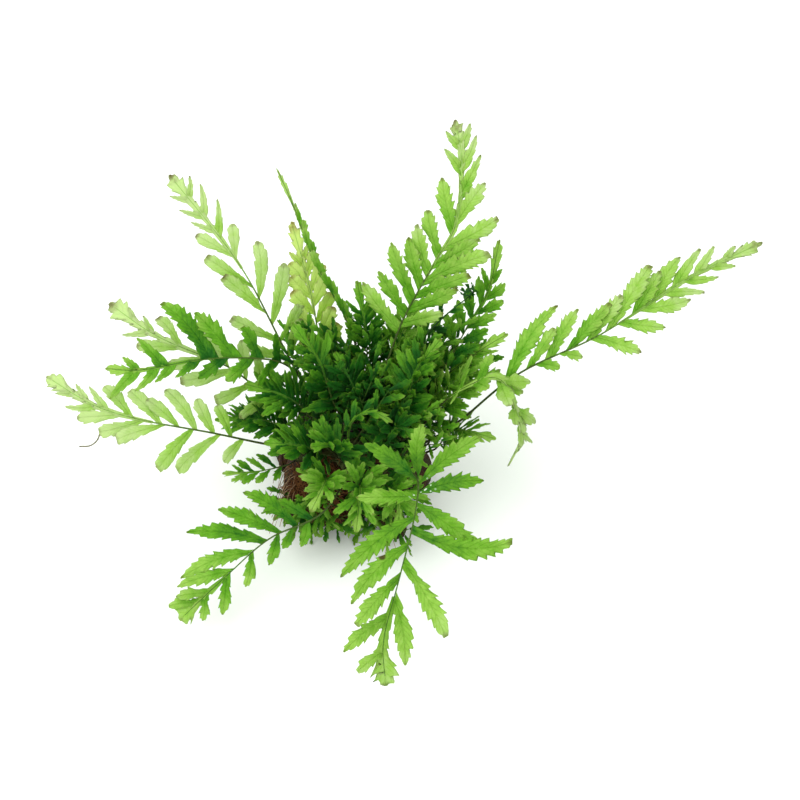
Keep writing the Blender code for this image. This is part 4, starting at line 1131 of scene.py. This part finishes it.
@dataclass
class LeafyPiece:
    """A whole frond: stem, rib, leaflets and end, grown as one."""

    course: Course
    leaf: Material
    stalk: Material
    dry: Material
    form: BladeForm = BladeForm()
    foot_radius: float = 0.00092
    rib_radius: float = 0.00072
    taper: float = 0.00050  # how much thinner the rib's end is
    full_length: float = 0.15  # length of a frond that has these radii in full
    rib_end: float = 0.97  # where the rib ends, as a share of the frond's length
    steps: int = 48
    sides: int = 8
    thread_radius: float = 0.00038
    thread_cuts: int = 24
    thread_sides: int = 6
    turn_share: float = 0.26  # share of a leaflet where its width turns from the rib's direction to its own
    tumble: float = 3.0  # how much more the leaflets of a crowded frond turn and bend
    crowded_width: tuple = (0.60, 0.80)  # their width over the usual one
    lobe_width: float = 0.74  # width of a plain lobe over that of a toothed leaflet
    end_width: float = 0.46  # half the width of the last blade over the leaflets' width
    end_base: float = 0.14  # least width of its foot, as a share of its half width
    end_paling: float = 0.10  # how much paler it is than the frond
    tone_spread: float = 0.08  # how much the leaflets' greens differ
    paling: float = 0.26  # how much paler the last leaflets are than the first
    thin: tuple = ((0.3, (-26, -14)), (0.65, (10, 24)))  # the thin ones' places between two others, and their turns
    thin_length: tuple = (0.8, 1.1)  # their length over what the frond gives
    thin_spread: tuple = (-6, 10)  # how far their angle to the rib strays, in degrees
    roll_turn: int = 480  # how far a young tip is rolled, in degrees
    roll_steps: int = 36
    roll_close: int = 57  # steps to where the roll would reach its own middle
    roll_width: float = 0.8  # thickness of the roll over the rib's
    roll_places: tuple = (2, 30, 2)  # first, end and step of its places that bear leaflets
    roll_leaflet: tuple = (0.0042, 0.0011)  # length and half width of the first of these
    roll_shorter: float = 0.00012  # how much shorter each next one is
    roll_bend: float = 90.0  # how far they bend inwards, per metre squared of their length
    roll_base: float = 0.3  # least width of their foot, as a share of their half width
    roll_paling: float = 0.06  # how much paler they are than the frond

    def __post_init__(self) -> None:
        """Reads the corners of the frond's solid."""
        self.frond = self.course.frond
        self.name = f"frond_{self.frond.name}"
        self.dice = random.Random(f"frond {self.frond.name}")
        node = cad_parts[self.name].data
        self.corners = KDTree(len(node.vertices))
        for vertex in node.vertices:
            self.corners.insert(vertex.co, vertex.index)
        self.corners.balance()

    def kept(self) -> list[tuple]:
        """The leaflets that the solid has.

        Returns:
            For each one its values, its side and its way.
        """
        found = []
        sides = [(leaflet, -1) for leaflet in self.frond.left] + [(leaflet, 1) for leaflet in self.frond.right]
        for leaflet, side in sides:
            best = None
            for way in WAYS:
                stand, length = self.course.reach(leaflet, side, way)
                tip = stand[0] + stand[1] * length - UP * length**2 * DROOP
                miss = self.corners.find(tip)[2]
                if best is None or miss < best[0] - TIP_NEARER:
                    best = (miss, way)
            if best[0] < TIP_MATCH:
                found.append((leaflet, side, best[1]))
        return found

    def filled(self, kept: list[tuple]) -> list[tuple]:
        """Puts thinner leaflets between those of a crowded frond.

        Args:
            kept: its leaflets, as kept() gives them.

        Returns:
            The leaflets between them, in the same form.
        """
        between = []
        for (low, side, way), (high, other, _) in zip(kept, kept[1:]):
            if side != other or high[0] < low[0]:
                continue
            for part, lifts in self.thin:
                length = (low[1] + (high[1] - low[1]) * part) * self.frond.between
                length *= self.dice.uniform(*self.thin_length)
                turned = (way[0] + self.dice.uniform(*lifts), way[1])
                spread = low[2] + (high[2] - low[2]) * part + self.dice.uniform(*self.thin_spread)
                between.append(((low[0] + (high[0] - low[0]) * part, length, spread, *low[3:]), side, turned))
        return between

    def lay_leaflets(self, shape: Shape) -> None:
        """Adds every leaflet's blade.

        Args:
            shape: gets the blades.
        """
        longest = max(leaflet[1] for leaflet in self.frond.left + self.frond.right)
        first = self.course.first_share()
        kept = self.kept()
        thin = self.filled(kept) if self.frond.between else []
        for leaflet, side, way in kept + thin:
            (foot, reach, across, upward), length = self.course.reach(leaflet, side, way)
            past = (leaflet[0] - first) / (1 - first)
            half = self.frond.breadth / 2 * (leaflet[1] / longest) ** 0.4 * (0.6 + 0.4 * way[1]) * self.frond.fullness
            half *= self.dice.uniform(*self.crowded_width) if self.frond.between else 1.0
            form = LOBE if past > self.frond.lobes_past else SMOOTH_LEAFLET if self.frond.smooth else self.form
            blade = Blade(form, length + RIB_HALF, half * (self.lobe_width if form is LOBE else 1.0), self.dice)
            if self.frond.between:
                blade.twist *= self.tumble
                blade.curl *= self.tumble
            foot = foot - reach * RIB_HALF
            forward = self.course.at(leaflet[0])[1]
            bend = leaflet[4] if len(leaflet) > 4 else 0.0

            def spine(along: float) -> Frame:
                """Finds how the drooping leaflet stands, whose foot lies along the rib.

                Args:
                    along: share of its length.

                Returns:
                    The frame there.
                """
                out = along * blade.length
                place = foot + reach * out - UP * out**2 * DROOP
                place += across * bend * blade.length * 4 * along * (1 - along)
                grown = keyed(((0.0, 0.0), (self.turn_share, 1.0)), along)
                return place, reach, forward.lerp(across, grown).normalized(), upward

            tone = self.frond.tone.value + self.dice.uniform(-self.tone_spread, self.tone_spread)
            tone += self.paling * (past - MIDDLE)
            base = 0.30 + 0.65 * min(max((past - 0.25) * 1.5, 0.0), 1.0)
            blade.lay(shape, spine, tone, max(base, self.frond.base))

    def lay_end(self, shape: Shape) -> None:
        """Adds the winged end of the rib, which widens into the last lobed blade.

        Args:
            shape: gets the blade.
        """
        last = max(leaflet[0] for leaflet in self.frond.left + self.frond.right)
        start = last - self.frond.wing * (1 - self.course.first_share())
        swell = (last - start) / (1 - start)
        rest = 1 - swell
        form = BladeForm(
            profile=((0.0, 0.14), (swell * 0.5, 0.30), (swell, 0.50), (swell + rest * 0.40, 0.96),
                     (swell + rest * 0.70, 0.84), (0.96, 0.42), (1.0, 0.12)),
            tooth_start=swell * 0.5, slant=0.06, tooth_span=0.0056, tooth_hook=0.0034, tooth_depth=0.74,
        )
        half = self.frond.breadth * self.end_width * self.frond.end
        blade = Blade(form, self.course.length * (1 - start), half, self.dice)
        blade.twist = blade.curl = blade.bow = 0.0
        blade.shift = blade.cut_off = 1.0

        def spine(along: float) -> Frame:
            """Finds how the rib stands, from where its wings begin.

            Args:
                along: share of the way from there to the tip.

            Returns:
                The frame there.
            """
            place, forward, right, normal = self.course.at(start + (1 - start) * along)
            if self.frond.to_light:
                right = forward.cross(TO_LIGHT).normalized()
                normal = right.cross(forward)
            return place, forward, right, normal

        blade.lay(shape, spine, self.frond.tone.value + self.end_paling, self.end_base)

    def coil(self) -> list[tuple[Vector, Vector]]:
        """Follows the rolled tip.

        Returns:
            The places along it, each with its direction away from the middle of the roll.
        """
        radius = self.frond.coil
        place, forward, _, normal = self.course.at(1.0)
        places = []
        for k in range(1, self.roll_steps + 1):
            angle = math.radians(self.roll_turn * k / self.roll_steps)
            away = forward * math.sin(angle) - normal * math.cos(angle)
            places.append((place + normal * radius + away * radius * (1 - k / self.roll_close), away))
        return places

    def lay_coil(self, shape: Shape) -> None:
        """Adds the folded small leaflets of a rolled tip.

        Args:
            shape: gets the blades.
        """
        _, _, right, _ = self.course.at(1.0)
        longest, half = self.roll_leaflet
        for k, (place, away) in enumerate(self.coil()[slice(*self.roll_places)]):
            side = 1 if k % 2 else -1
            reach = (away * 0.55 + right * side * 0.8).normalized()
            across = away.cross(right).normalized()
            blade = Blade(self.form, longest - self.roll_shorter * k, half, self.dice)

            def spine(along: float) -> Frame:
                """The small leaflet's spine, which bends inwards."""
                out = along * blade.length
                return place + reach * out - away * out**2 * self.roll_bend, reach, across, reach.cross(across)

            blade.lay(shape, spine, self.frond.tone.value + self.roll_paling, self.roll_base)

    def lay_stem(self, shape: Shape) -> None:
        """Adds the round stem and rib, thinner towards the tip.

        Args:
            shape: gets the tubes.
        """
        scale = (0.55 + 0.45 * min(self.course.length / self.full_length, 1.0)) * self.frond.stem
        places = [self.course.socket]
        radii = [self.foot_radius * scale]
        for k in range(self.steps + 1):
            share = k / self.steps * (1.0 if self.frond.coil else self.rib_end)
            places.append(self.course.at(share)[0])
            radii.append((self.rib_radius - self.taper * share**0.8) * scale)
        if self.frond.coil:
            for place, _ in self.coil():
                places.append(place)
                radii.append(self.rib_radius * self.roll_width)
        sweep(shape, places, radii, self.sides, STALK_SLOT)
        if self.frond.thread:
            places = smooth_path(self.frond.thread, self.thread_cuts)
            sweep(shape, places, [self.thread_radius] * len(places), self.thread_sides, DRY_SLOT)

    def build(self) -> bpy.types.Object:
        """Builds the frond, closes its blades and lets it replace its solid.

        Returns:
            The finished frond.
        """
        flat = empty_shape()
        self.lay_leaflets(flat)
        if self.frond.coil:
            self.lay_coil(flat)
        else:
            self.lay_end(flat)
        shape = thickened(flat, self.form.thickness, [self.leaf, self.stalk])
        self.lay_stem(shape)
        skins = [self.leaf, self.stalk] + ([self.dry] if self.frond.thread else [])
        piece = as_piece(self.name + "_leafy", shape, skins)
        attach(piece, "root")
        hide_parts(self.name)
        return piece


@dataclass(frozen=True)
class Sprig:
    """One young shoot: a stalk and how long its leaves are."""

    foot: Vector
    way: Vector  # direction of its stalk
    stalk: float  # the stalk's length, in metres
    blade: float  # its leaves' length
    tone: float
    parts: tuple  # for each leaf: share of the stalk's length, turn from the stalk's direction in degrees


@dataclass
class Undergrowth:
    """Young shoots that crowd on the rhizomes, and small leaves over the front of the wood."""

    perch: Perch
    leaf: Material
    stalk: Material
    outer: int = 300  # small leaves on the front of the wood
    rooms: tuple = (
        (80, (0.000, 0.002, 0.042), (0.062, 0.044, 0.050)),
        (46, (0.036, 0.028, 0.066), (0.032, 0.028, 0.034)),
        (34, (-0.018, 0.028, 0.070), (0.030, 0.026, 0.032)),
    )  # how many shoots fill each room between the stems, and the middle and the half sizes of the room
    inner_length: tuple = (0.008, 0.015)
    outer_stalk: tuple = (0.001, 0.007)
    outer_length: tuple = (0.007, 0.014)
    front_x: tuple = (-0.044, 0.020)  # where the light that they stand in would fall on the table
    front_y: tuple = (-0.036, 0.002)
    windows: tuple = (
        (-0.036, 0.011, 0.010, 0.012), (-0.0045, 0.047, 0.0050, 0.017), (0.006, 0.060, 0.010, 0.004),
    )  # middle and half sizes of the parts where they stand aside
    hollow: tuple = (0.0025, 0.0680, 0.024, 0.032)  # the part of the crown that lies in shade, where the shoots get painted shade, given in the same way
    painted_shade_depth: float = 0.13  # how much darker the painted shade makes them in its middle
    most_half: float = 0.0026  # half the width of the widest
    slimness: tuple = (0.13, 0.20)  # half the width over the length
    wander: float = 14.0  # how far a leaf turns from its place, in degrees
    scatter: float = 0.35  # how far a shoot turns from the light
    leaf_length: tuple = (0.7, 1.1)  # of each leaf, over what the shoot gives
    stray: float = 0.30  # how far a leaf strays from its direction
    sag: float = 0.12  # how far it turns down
    droop: float = 10.0  # its fall below its straight line, per metre squared of its length
    base: float = 0.35  # least width of its foot, as a share of its half width
    tone_spread: float = 0.05  # how much the greens of a shoot's leaves differ
    painted_shade_fade: float = 0.30  # how much paler the outermost shoots are than the inner ones, which carry painted shade
    right_paling: float = 1.6  # how much paler they are towards the right, per metre
    inner_tones: tuple = (-0.09, 0.06)  # how far the greens of the shoots differ
    outer_tones: tuple = (-0.20, 0.10)  # how far those of the small leaves differ
    steepest: float = 85.0  # highest direction of a shoot's tip from its room's middle, in degrees
    room_share: tuple = (0.25, 0.92)  # how far out in the room it may be
    feet: int = 4  # places on the rhizomes that its foot is chosen from
    least_way: float = 0.008  # least length of a shoot's stalk
    least_rise: float = 0.05  # least upward part of its direction
    least_height: float = 0.0010  # of its stalk
    form: BladeForm = BladeForm(
        tooth_span=0.0034, tooth_depth=0.60, tooth_hook=0.0016, rows_per_tooth=3, most_rows=10, columns=2,
    )
    shoot: tuple = ((0.40, -60), (0.50, 58), (0.61, -54), (0.72, 50), (0.83, -44), (0.92, 38), (1.0, 0))
    stalk_places: tuple = (0.0, 0.35, 0.7, 1.0)
    stalk_radii: tuple = (0.00034, 0.00032, 0.00030, 0.00027, 0.00022, 0.00010)
    stalk_sides: int = 5

    def __post_init__(self) -> None:
        """Starts its dice."""
        self.dice = random.Random("undergrowth")

    def somewhere(self) -> Vector:
        """A direction by chance, of a length below 1.8."""
        return Vector((self.dice.uniform(-1, 1), self.dice.uniform(-1, 1), self.dice.uniform(-1, 1)))

    def grow(self, shape: Shape, sprig: Sprig) -> list[Vector]:
        """Lays a shoot's leaves.

        Args:
            shape: gets the blades.
            sprig: the shoot.

        Returns:
            The places along its stalk.
        """
        dice = self.dice
        facing = (TO_LIGHT + self.somewhere() * self.scatter).normalized()
        for share, turn in sprig.parts:
            start = sprig.foot + sprig.way * sprig.stalk * share
            turned = math.radians(turn + dice.uniform(-self.wander, self.wander))
            reach = Matrix.Rotation(turned, 3, facing) @ sprig.way
            reach = (reach + self.somewhere() * self.stray - UP * self.sag).normalized()
            across = (facing + self.somewhere() * self.scatter).cross(reach).normalized()
            length = sprig.blade * dice.uniform(*self.leaf_length)
            blade = Blade(self.form, length, min(length * dice.uniform(*self.slimness), self.most_half), dice)

            def spine(along: float) -> Frame:
                """The blade's bent spine."""
                out = along * length
                return start + reach * out - UP * out**2 * self.droop, reach, across, reach.cross(across)

            tone = sprig.tone + dice.uniform(-self.tone_spread, self.tone_spread)
            blade.lay(shape, spine, tone, self.base)
        places = [sprig.foot + sprig.way * sprig.stalk * share for share in self.stalk_places]
        for place in places:
            place.z = max(place.z, self.least_height)
        return places

    def shoots(self) -> list[Sprig]:
        """Sets out the shoots that fill the room between the fronds' stems.

        Returns:
            The shoots.
        """
        dice = self.dice
        found = []
        middles = [place for middle in self.perch.middles.values() for place in middle]
        for count, middle, half in self.rooms:
            grown = 0
            while grown < count:
                turn = dice.uniform(0, 2 * math.pi)
                rise = math.radians(dice.uniform(0, self.steepest))
                share = dice.uniform(*self.room_share)
                out = Vector((math.cos(turn) * math.cos(rise), math.sin(turn) * math.cos(rise), math.sin(rise)))
                end = Vector(middle) + Vector([a * b * share for a, b in zip(out, half)])
                foot = min((dice.choice(middles) for _ in range(self.feet)), key=lambda place: (place - end).length)
                way = end - foot
                if way.length > self.least_way and way.normalized().z > self.least_rise and not self.in_window(end):
                    # painted shade: inner shoots, and most of all those in the shaded hollow, get a darker green
                    tone = Tone.DARK.value + self.painted_shade_fade * share**2 + self.right_paling * max(end.x, 0.0)
                    tone += dice.uniform(*self.inner_tones)
                    tone -= self.painted_shade_depth * max(0.0, 1 - self.past(end, self.hollow))
                    length = dice.uniform(*self.inner_length)
                    found.append(Sprig(foot, way.normalized(), way.length, length, tone, self.shoot))
                    grown += 1
        return found

    def small_leaves(self) -> list[Sprig]:
        """Sets out the small leaves over the front of the wood and the roots.

        Returns:
            Each leaf, as a shoot of its own.
        """
        dice = self.dice
        found = []
        for _ in range(self.outer):
            met = self.perch.lit(dice.uniform(*self.front_x), dice.uniform(*self.front_y))
            turn = dice.uniform(0, 2 * math.pi)
            stalk, length = dice.uniform(*self.outer_stalk), dice.uniform(*self.outer_length)
            tone = Tone.FRESH.value + dice.uniform(*self.outer_tones)
            if met:
                aside = Vector((math.cos(turn), 0, 0)) + TO_LIGHT.cross(Vector((1, 0, 0))) * math.sin(turn)
                way = (met[1] * 0.5 + TO_LIGHT * 0.3 + aside).normalized()
                middle = met[0] + way * (stalk + length / 2)
                if not self.in_window(met[0]) and not self.in_window(middle):
                    found.append(Sprig(met[0], way, stalk, length, tone, ((1.0, 0),)))
        return found

    def past(self, place: Vector, part: tuple) -> float:
        """Finds how far the shadow of a place falls from the middle of a part of the table.

        Args:
            place: throws the shadow.
            part: the middle and the half sizes of the part.

        Returns:
            The distance, which is 1 at the part's edge.
        """
        x, y, wide, deep = part
        shade = place - TO_LIGHT * (place.z / TO_LIGHT.z)
        return math.hypot((shade.x - x) / wide, (shade.y - y) / deep)

    def in_window(self, place: Vector) -> bool:
        """Whether the shadow of a place falls on the bare roots or on the hooked frond."""
        return any(self.past(place, window) < 1 for window in self.windows)

    def build(self) -> bpy.types.Object:
        """Builds every shoot on its stalk.

        Returns:
            The finished shoots, as one piece.
        """
        flat = empty_shape()
        stalks = [self.grow(flat, sprig) for sprig in self.shoots() + self.small_leaves()]
        shape = thickened(flat, self.form.thickness, [self.leaf, self.stalk])
        for places in stalks:
            places = smooth_path(places, len(self.stalk_radii) - 1)
            sweep(shape, places, self.stalk_radii, self.stalk_sides, STALK_SLOT)
        piece = as_piece("young_leaves", shape, [self.leaf, self.stalk])
        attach(piece, "root")
        return piece


@dataclass
class WoodPiece:
    """A finer copy of a wood node, with furrows along its grain."""

    node: str
    surface: Material
    cuts: int = 3
    rounding: float = 0.6  # how far the cuts round the faceted solid
    furrow: float = 0.0007  # greatest depth of the furrows
    furrow_scale: tuple = (60.0, 420.0, 420.0)
    hollow: float = 0.0006  # greatest depth of the hollows
    hollow_scale: float = 130.0
    sole: float = 0.0006  # the flat underside, which stays smooth, goes up to this height

    def build(self) -> bpy.types.Object:
        """Subdivides the copy, presses the furrows in and lets it replace the node.

        Returns:
            The finished wood.
        """
        shape = merged_copy(self.node)
        bmesh.ops.subdivide_edges(shape, edges=shape.edges, cuts=self.cuts, use_grid_fill=True, smooth=self.rounding)
        bmesh.ops.triangulate(shape, faces=[face for face in shape.faces if len(face.verts) > 4])
        shape.normal_update()
        for vertex in shape.verts:
            place = vertex.co
            grain = noise.fractal(place * Vector(self.furrow_scale), 0.9, 2.0, 4)
            knots = noise.noise(place * self.hollow_scale)
            depth = self.furrow * abs(grain) + self.hollow * max(knots, 0.0)
            if place.z > self.sole:
                vertex.co = place - vertex.normal * depth
            vertex.co.z = max(vertex.co.z, 0.0)
        piece = as_piece(self.node + "_weathered", shape, [self.surface])
        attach(piece, "root")
        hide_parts(self.node)
        return piece


@dataclass
class RhizomePiece:
    """A creeping rhizome: a knobbed tube on the wood, clad in small dark scales."""

    node: str
    middle: list[Vector]
    surface: Material
    steps: int = 60
    sides: int = 14
    scales_per_place: int = 14
    knobs: float = 0.10  # how much its knobs change its radius, as a share of it
    knob_turn: float = 0.9  # turn of their wave from step to step
    scale_length: tuple = (0.0012, 0.0024)
    scale_radius: float = 0.0005
    scale_tip: float = 0.00004  # radius of a scale's tip
    scale_flatness: float = 0.35  # thickness of a scale over its width

    def build(self) -> bpy.types.Object:
        """Sweeps the tube, sets the scales on it and lets it replace the node.

        Returns:
            The finished rhizome.
        """
        dice = random.Random(self.node)
        shape = empty_shape()
        places = smooth_path(self.middle, self.steps)
        radii = []
        for k in range(len(places)):
            end = min(k, len(places) - 1 - k)
            knob = 0.92 + self.knobs * math.sin(self.knob_turn * k)
            radii.append(RHIZOME_RADIUS * knob * min(1.0, 0.45 + 0.2 * end))
        sweep(shape, places, radii, self.sides, 0)
        for _ in range(self.scales_per_place * len(self.middle)):
            k = dice.randrange(2, len(places) - 3)
            forward = (places[k + 1] - places[k]).normalized()
            side = Matrix.Rotation(dice.uniform(0, 6.28), 3, forward) @ forward.orthogonal().normalized()
            lean = (forward + side * dice.uniform(0.3, 0.9)).normalized()
            self.add_scale(shape, places[k] + side * radii[k] * 0.9, lean, side, dice.uniform(*self.scale_length))
        piece = as_piece(self.node + "_scaly", shape, [self.surface])
        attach(piece, "root")
        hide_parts(self.node)
        return piece

    def add_scale(self, shape: Shape, foot: Vector, lean: Vector, side: Vector, length: float) -> None:
        """Adds one scale: a flat cone that leans along the rhizome.

        Args:
            shape: gets the scale.
            foot: where it sits.
            lean: the direction that it points in.
            side: the direction out of the rhizome.
            length: its length.
        """
        across = lean.cross(side).normalized()
        turn = Matrix((across, lean.cross(across), lean)).transposed().to_4x4()
        place = Matrix.Translation(foot + lean * length * 0.4)
        flat = Matrix.Diagonal((1.0, self.scale_flatness, 1.0, 1.0))
        bmesh.ops.create_cone(
            shape, cap_ends=True, segments=5, radius1=self.scale_radius, radius2=self.scale_tip, depth=length,
            matrix=place @ turn @ flat,
        )


@dataclass
class RootFelt:
    """The mat of roots: its own ground and hundreds of fine roots that cross it."""

    perch: Perch
    ground: Material
    fibre: Material
    strands: int = 560
    step: float = 0.0015
    most_steps: int = 9
    most_fall: float = 4.0  # a root ends where its next place is more than this many steps away
    lift: tuple = (-0.0002, 0.0005)  # how far it lies above what it grows on
    radius: tuple = (0.00010, 0.00024)
    cuts: int = 14
    sides: int = 4
    sunk: float = 0.0004  # how far the ground lies below the solid's surface
    dents: float = 0.0007  # depth of the ground's dents
    dent_scale: float = 700.0
    across_x: tuple = (-0.047, -0.012)  # where the light that the roots stand in would fall on the table
    across_y: tuple = (-0.034, 0.026)

    def __post_init__(self) -> None:
        """Starts its dice."""
        self.dice = random.Random("roots")

    def strand(self, shape: Shape) -> None:
        """Adds one root that wanders over the mat and the wood beside it.

        Args:
            shape: gets the root.
        """
        dice = self.dice
        x = dice.uniform(*self.across_x)
        y = dice.uniform(*self.across_y)
        turn = dice.uniform(-2.6, -0.5)
        places = []
        for _ in range(self.most_steps):
            met = self.perch.lit(x, y)
            if not met or places and (met[0] - places[-1]).length > self.most_fall * self.step:
                break
            places.append(met[0] + met[1] * dice.uniform(*self.lift))
            turn += dice.uniform(-0.5, 0.5)
            x += math.cos(turn) * self.step
            y += math.sin(turn) * self.step
        if len(places) > 3:
            places = smooth_path(places, self.cuts)
            sweep(shape, places, [dice.uniform(*self.radius)] * len(places), self.sides, FIBRE_SLOT)

    def build(self) -> bpy.types.Object:
        """Builds the ground and the roots, and replaces the mat's solid.

        Returns:
            The finished mat.
        """
        shape = merged_copy("root_mat")
        bmesh.ops.subdivide_edges(shape, edges=shape.edges, cuts=3, use_grid_fill=True)
        shape.normal_update()
        for vertex in shape.verts:
            vertex.co -= vertex.normal * (self.sunk + self.dents * abs(noise.noise(vertex.co * self.dent_scale)))
        for _ in range(self.strands):
            self.strand(shape)
        piece = as_piece("root_felt", shape, [self.ground, self.fibre])
        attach(piece, "root")
        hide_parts("root_mat")
        return piece


@dataclass
class RootThreads:
    """Loose root threads that hang from the wood and the mat."""

    perch: Perch
    fibre: Material
    stands: tuple = (
        (26, (-0.046, -0.034), (-0.008, 0.020), (-1.6, -0.2)),
        (14, (-0.030, 0.022), (-0.035, -0.024), (-0.5, 0.6)),
    )  # how many stand in each place, where the light on their feet would fall on the table, and their lean
    radius: tuple = (0.00010, 0.00018)
    length: tuple = (0.006, 0.016)
    sunk: float = 0.0004  # how deep a thread's foot is in the wood
    fall: float = 0.8  # how far its end hangs below its foot, as a share of its length
    arch: float = 0.001  # how far its middle rises
    cuts: int = 12
    sides: int = 5

    def build(self) -> bpy.types.Object:
        """Builds every thread: out of the wood, down and along the floor.

        Returns:
            The finished threads, as one piece.
        """
        shape = empty_shape()
        dice = random.Random("threads")
        for across, deep, lean in [stand[1:] for stand in self.stands for _ in range(stand[0])]:
            met = self.perch.lit(dice.uniform(*across), dice.uniform(*deep))
            if not met:
                continue
            start = met[0] - met[1] * self.sunk
            away = Vector((dice.uniform(*lean), -1.0, 0.0)).normalized()
            length = dice.uniform(*self.length)
            ground = max(start.z - length * self.fall, OFF_FLOOR)
            end = start + away * length + Vector((0, 0, ground - start.z))
            places = smooth_path([start, start + away * length * 0.5 + UP * self.arch, end], self.cuts)
            sweep(shape, places, [dice.uniform(*self.radius)] * len(places), self.sides, 0)
        piece = as_piece("root_threads", shape, [self.fibre])
        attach(piece, "root")
        return piece


@dataclass(frozen=True)
class Studio:
    """The pale floor, the camera at the photograph's place and the soft light."""

    eye: tuple = (0.0175, -0.5785, 0.7644)
    target: tuple = (0.0175, 0.0, 0.075)
    lens: float = 81.0
    sky: float = 0.98
    sky_colour: tuple = (0.97, 1.0, 0.97, 1.0)
    floor_size: float = 3.0
    floor_height: float = -0.0003

    def build(self) -> None:
        """Sets up the floor, the lights, the camera and the view."""
        shape = bmesh.new()
        level = Matrix.Translation((0, 0, self.floor_height))
        bmesh.ops.create_grid(shape, x_segments=1, y_segments=1, size=self.floor_size, matrix=level)
        as_piece("floor", shape, [FloorFinish().build()])
        self.add_light("key", (-0.60, -0.10, 1.15), 1.5, 13.0)
        self.add_light("fill", (0.25, -0.75, 0.95), 1.2, 4.0)
        world = bpy.data.worlds.new("studio")
        world.use_nodes = True
        sky = world.node_tree.nodes["Background"].inputs
        sky["Color"].default_value = self.sky_colour
        sky["Strength"].default_value = self.sky
        bpy.context.scene.world = world
        camera = bpy.data.cameras.new("camera")
        camera.lens = self.lens
        camera.sensor_width = 36.0
        camera.clip_start = 0.01
        bpy.context.scene.camera = self.hang(camera, self.eye)
        bpy.context.scene.view_settings.view_transform = "Standard"

    def hang(self, data: bpy.types.Camera | bpy.types.Light, place: tuple) -> bpy.types.Object:
        """Hangs up the camera or a light so that it faces the plant.

        Args:
            data: the camera or the light.
            place: where it hangs.

        Returns:
            Its object.
        """
        made = bpy.data.objects.new(data.name, data)
        made.location = place
        made.rotation_euler = (Vector(self.target) - Vector(place)).to_track_quat("-Z", "Y").to_euler()
        bpy.context.scene.collection.objects.link(made)
        return made

    def add_light(self, name: str, place: tuple, size: float, power: float) -> None:
        """Adds a square soft light that faces the plant.

        Args:
            name: its name.
            place: where it hangs.
            size: the length of its side.
            power: in watts.
        """
        lamp = bpy.data.lights.new(name, "AREA")
        lamp.size = size
        lamp.energy = power
        self.hang(lamp, place)


def main() -> None:
    """Builds every piece in order and reports it."""
    logging.basicConfig(level=logging.INFO, format="%(name)s: %(message)s")
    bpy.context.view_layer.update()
    Studio().build()
    perch = Perch()
    wood = WoodFinish().build()
    scaly = FibreFinish("rhizome", (0.014, 0.016, 0.005), (0.075, 0.090, 0.022), roughness=0.7).build()
    ground = FibreFinish("root_ground", (0.018, 0.006, 0.002), (0.070, 0.023, 0.007)).build()
    fibre = FibreFinish("root_fibre", (0.055, 0.018, 0.005), (0.210, 0.085, 0.028)).build()
    thread = FibreFinish("root_thread", (0.180, 0.090, 0.045), (0.480, 0.330, 0.210)).build()
    dry = FibreFinish("dry_thread", (0.090, 0.080, 0.045), (0.240, 0.220, 0.140)).build()
    stalk = StalkFinish("stalk", tip=(0.056, 0.150, 0.016)).build()
    pale_stalk = StalkFinish("pale_stalk").build()
    young_stalk = StalkFinish("young_stalk", middle=(0.020, 0.075, 0.012), tip=(0.022, 0.095, 0.016)).build()
    leaf = LeafFinish("leaf").build()
    tired = LeafFinish("leaf_tired", scorch=0.5).build()
    yellowed = LeafFinish(
        "leaf_yellowed", scorch=0.9, fresh=(0.220, 0.470, 0.026), bright=(0.450, 0.660, 0.090),
        pale=(0.680, 0.810, 0.260), brown=(0.280, 0.160, 0.035),
    ).build()
    marked = LeafFinish(
        "leaf_marked", marked=True, brown=(0.085, 0.060, 0.016), fresh=(0.180, 0.425, 0.024),
    ).build()
    makers: list = [WoodPiece(node, wood) for node in WOOD_NODES]
    makers += [RhizomePiece(node, middle, scaly) for node, middle in perch.middles.items()]
    makers += [RootFelt(perch, ground, fibre), RootThreads(perch, thread), Undergrowth(perch, leaf, stalk)]
    for frond in FRONDS:
        skin = marked if frond.marked else {0.5: tired, 0.9: yellowed}.get(frond.scorch, leaf)
        course = Course(frond, perch.middles[frond.line])
        rib = young_stalk if frond.coil else pale_stalk if frond.tone.value > Tone.LIGHT.value else stalk
        makers.append(LeafyPiece(course, skin, rib, dry))
    for maker in makers:
        piece = maker.build()
        LOG.info("%s, %d faces", piece.name, len(piece.data.polygons))


if __name__ == "__main__":
    main()
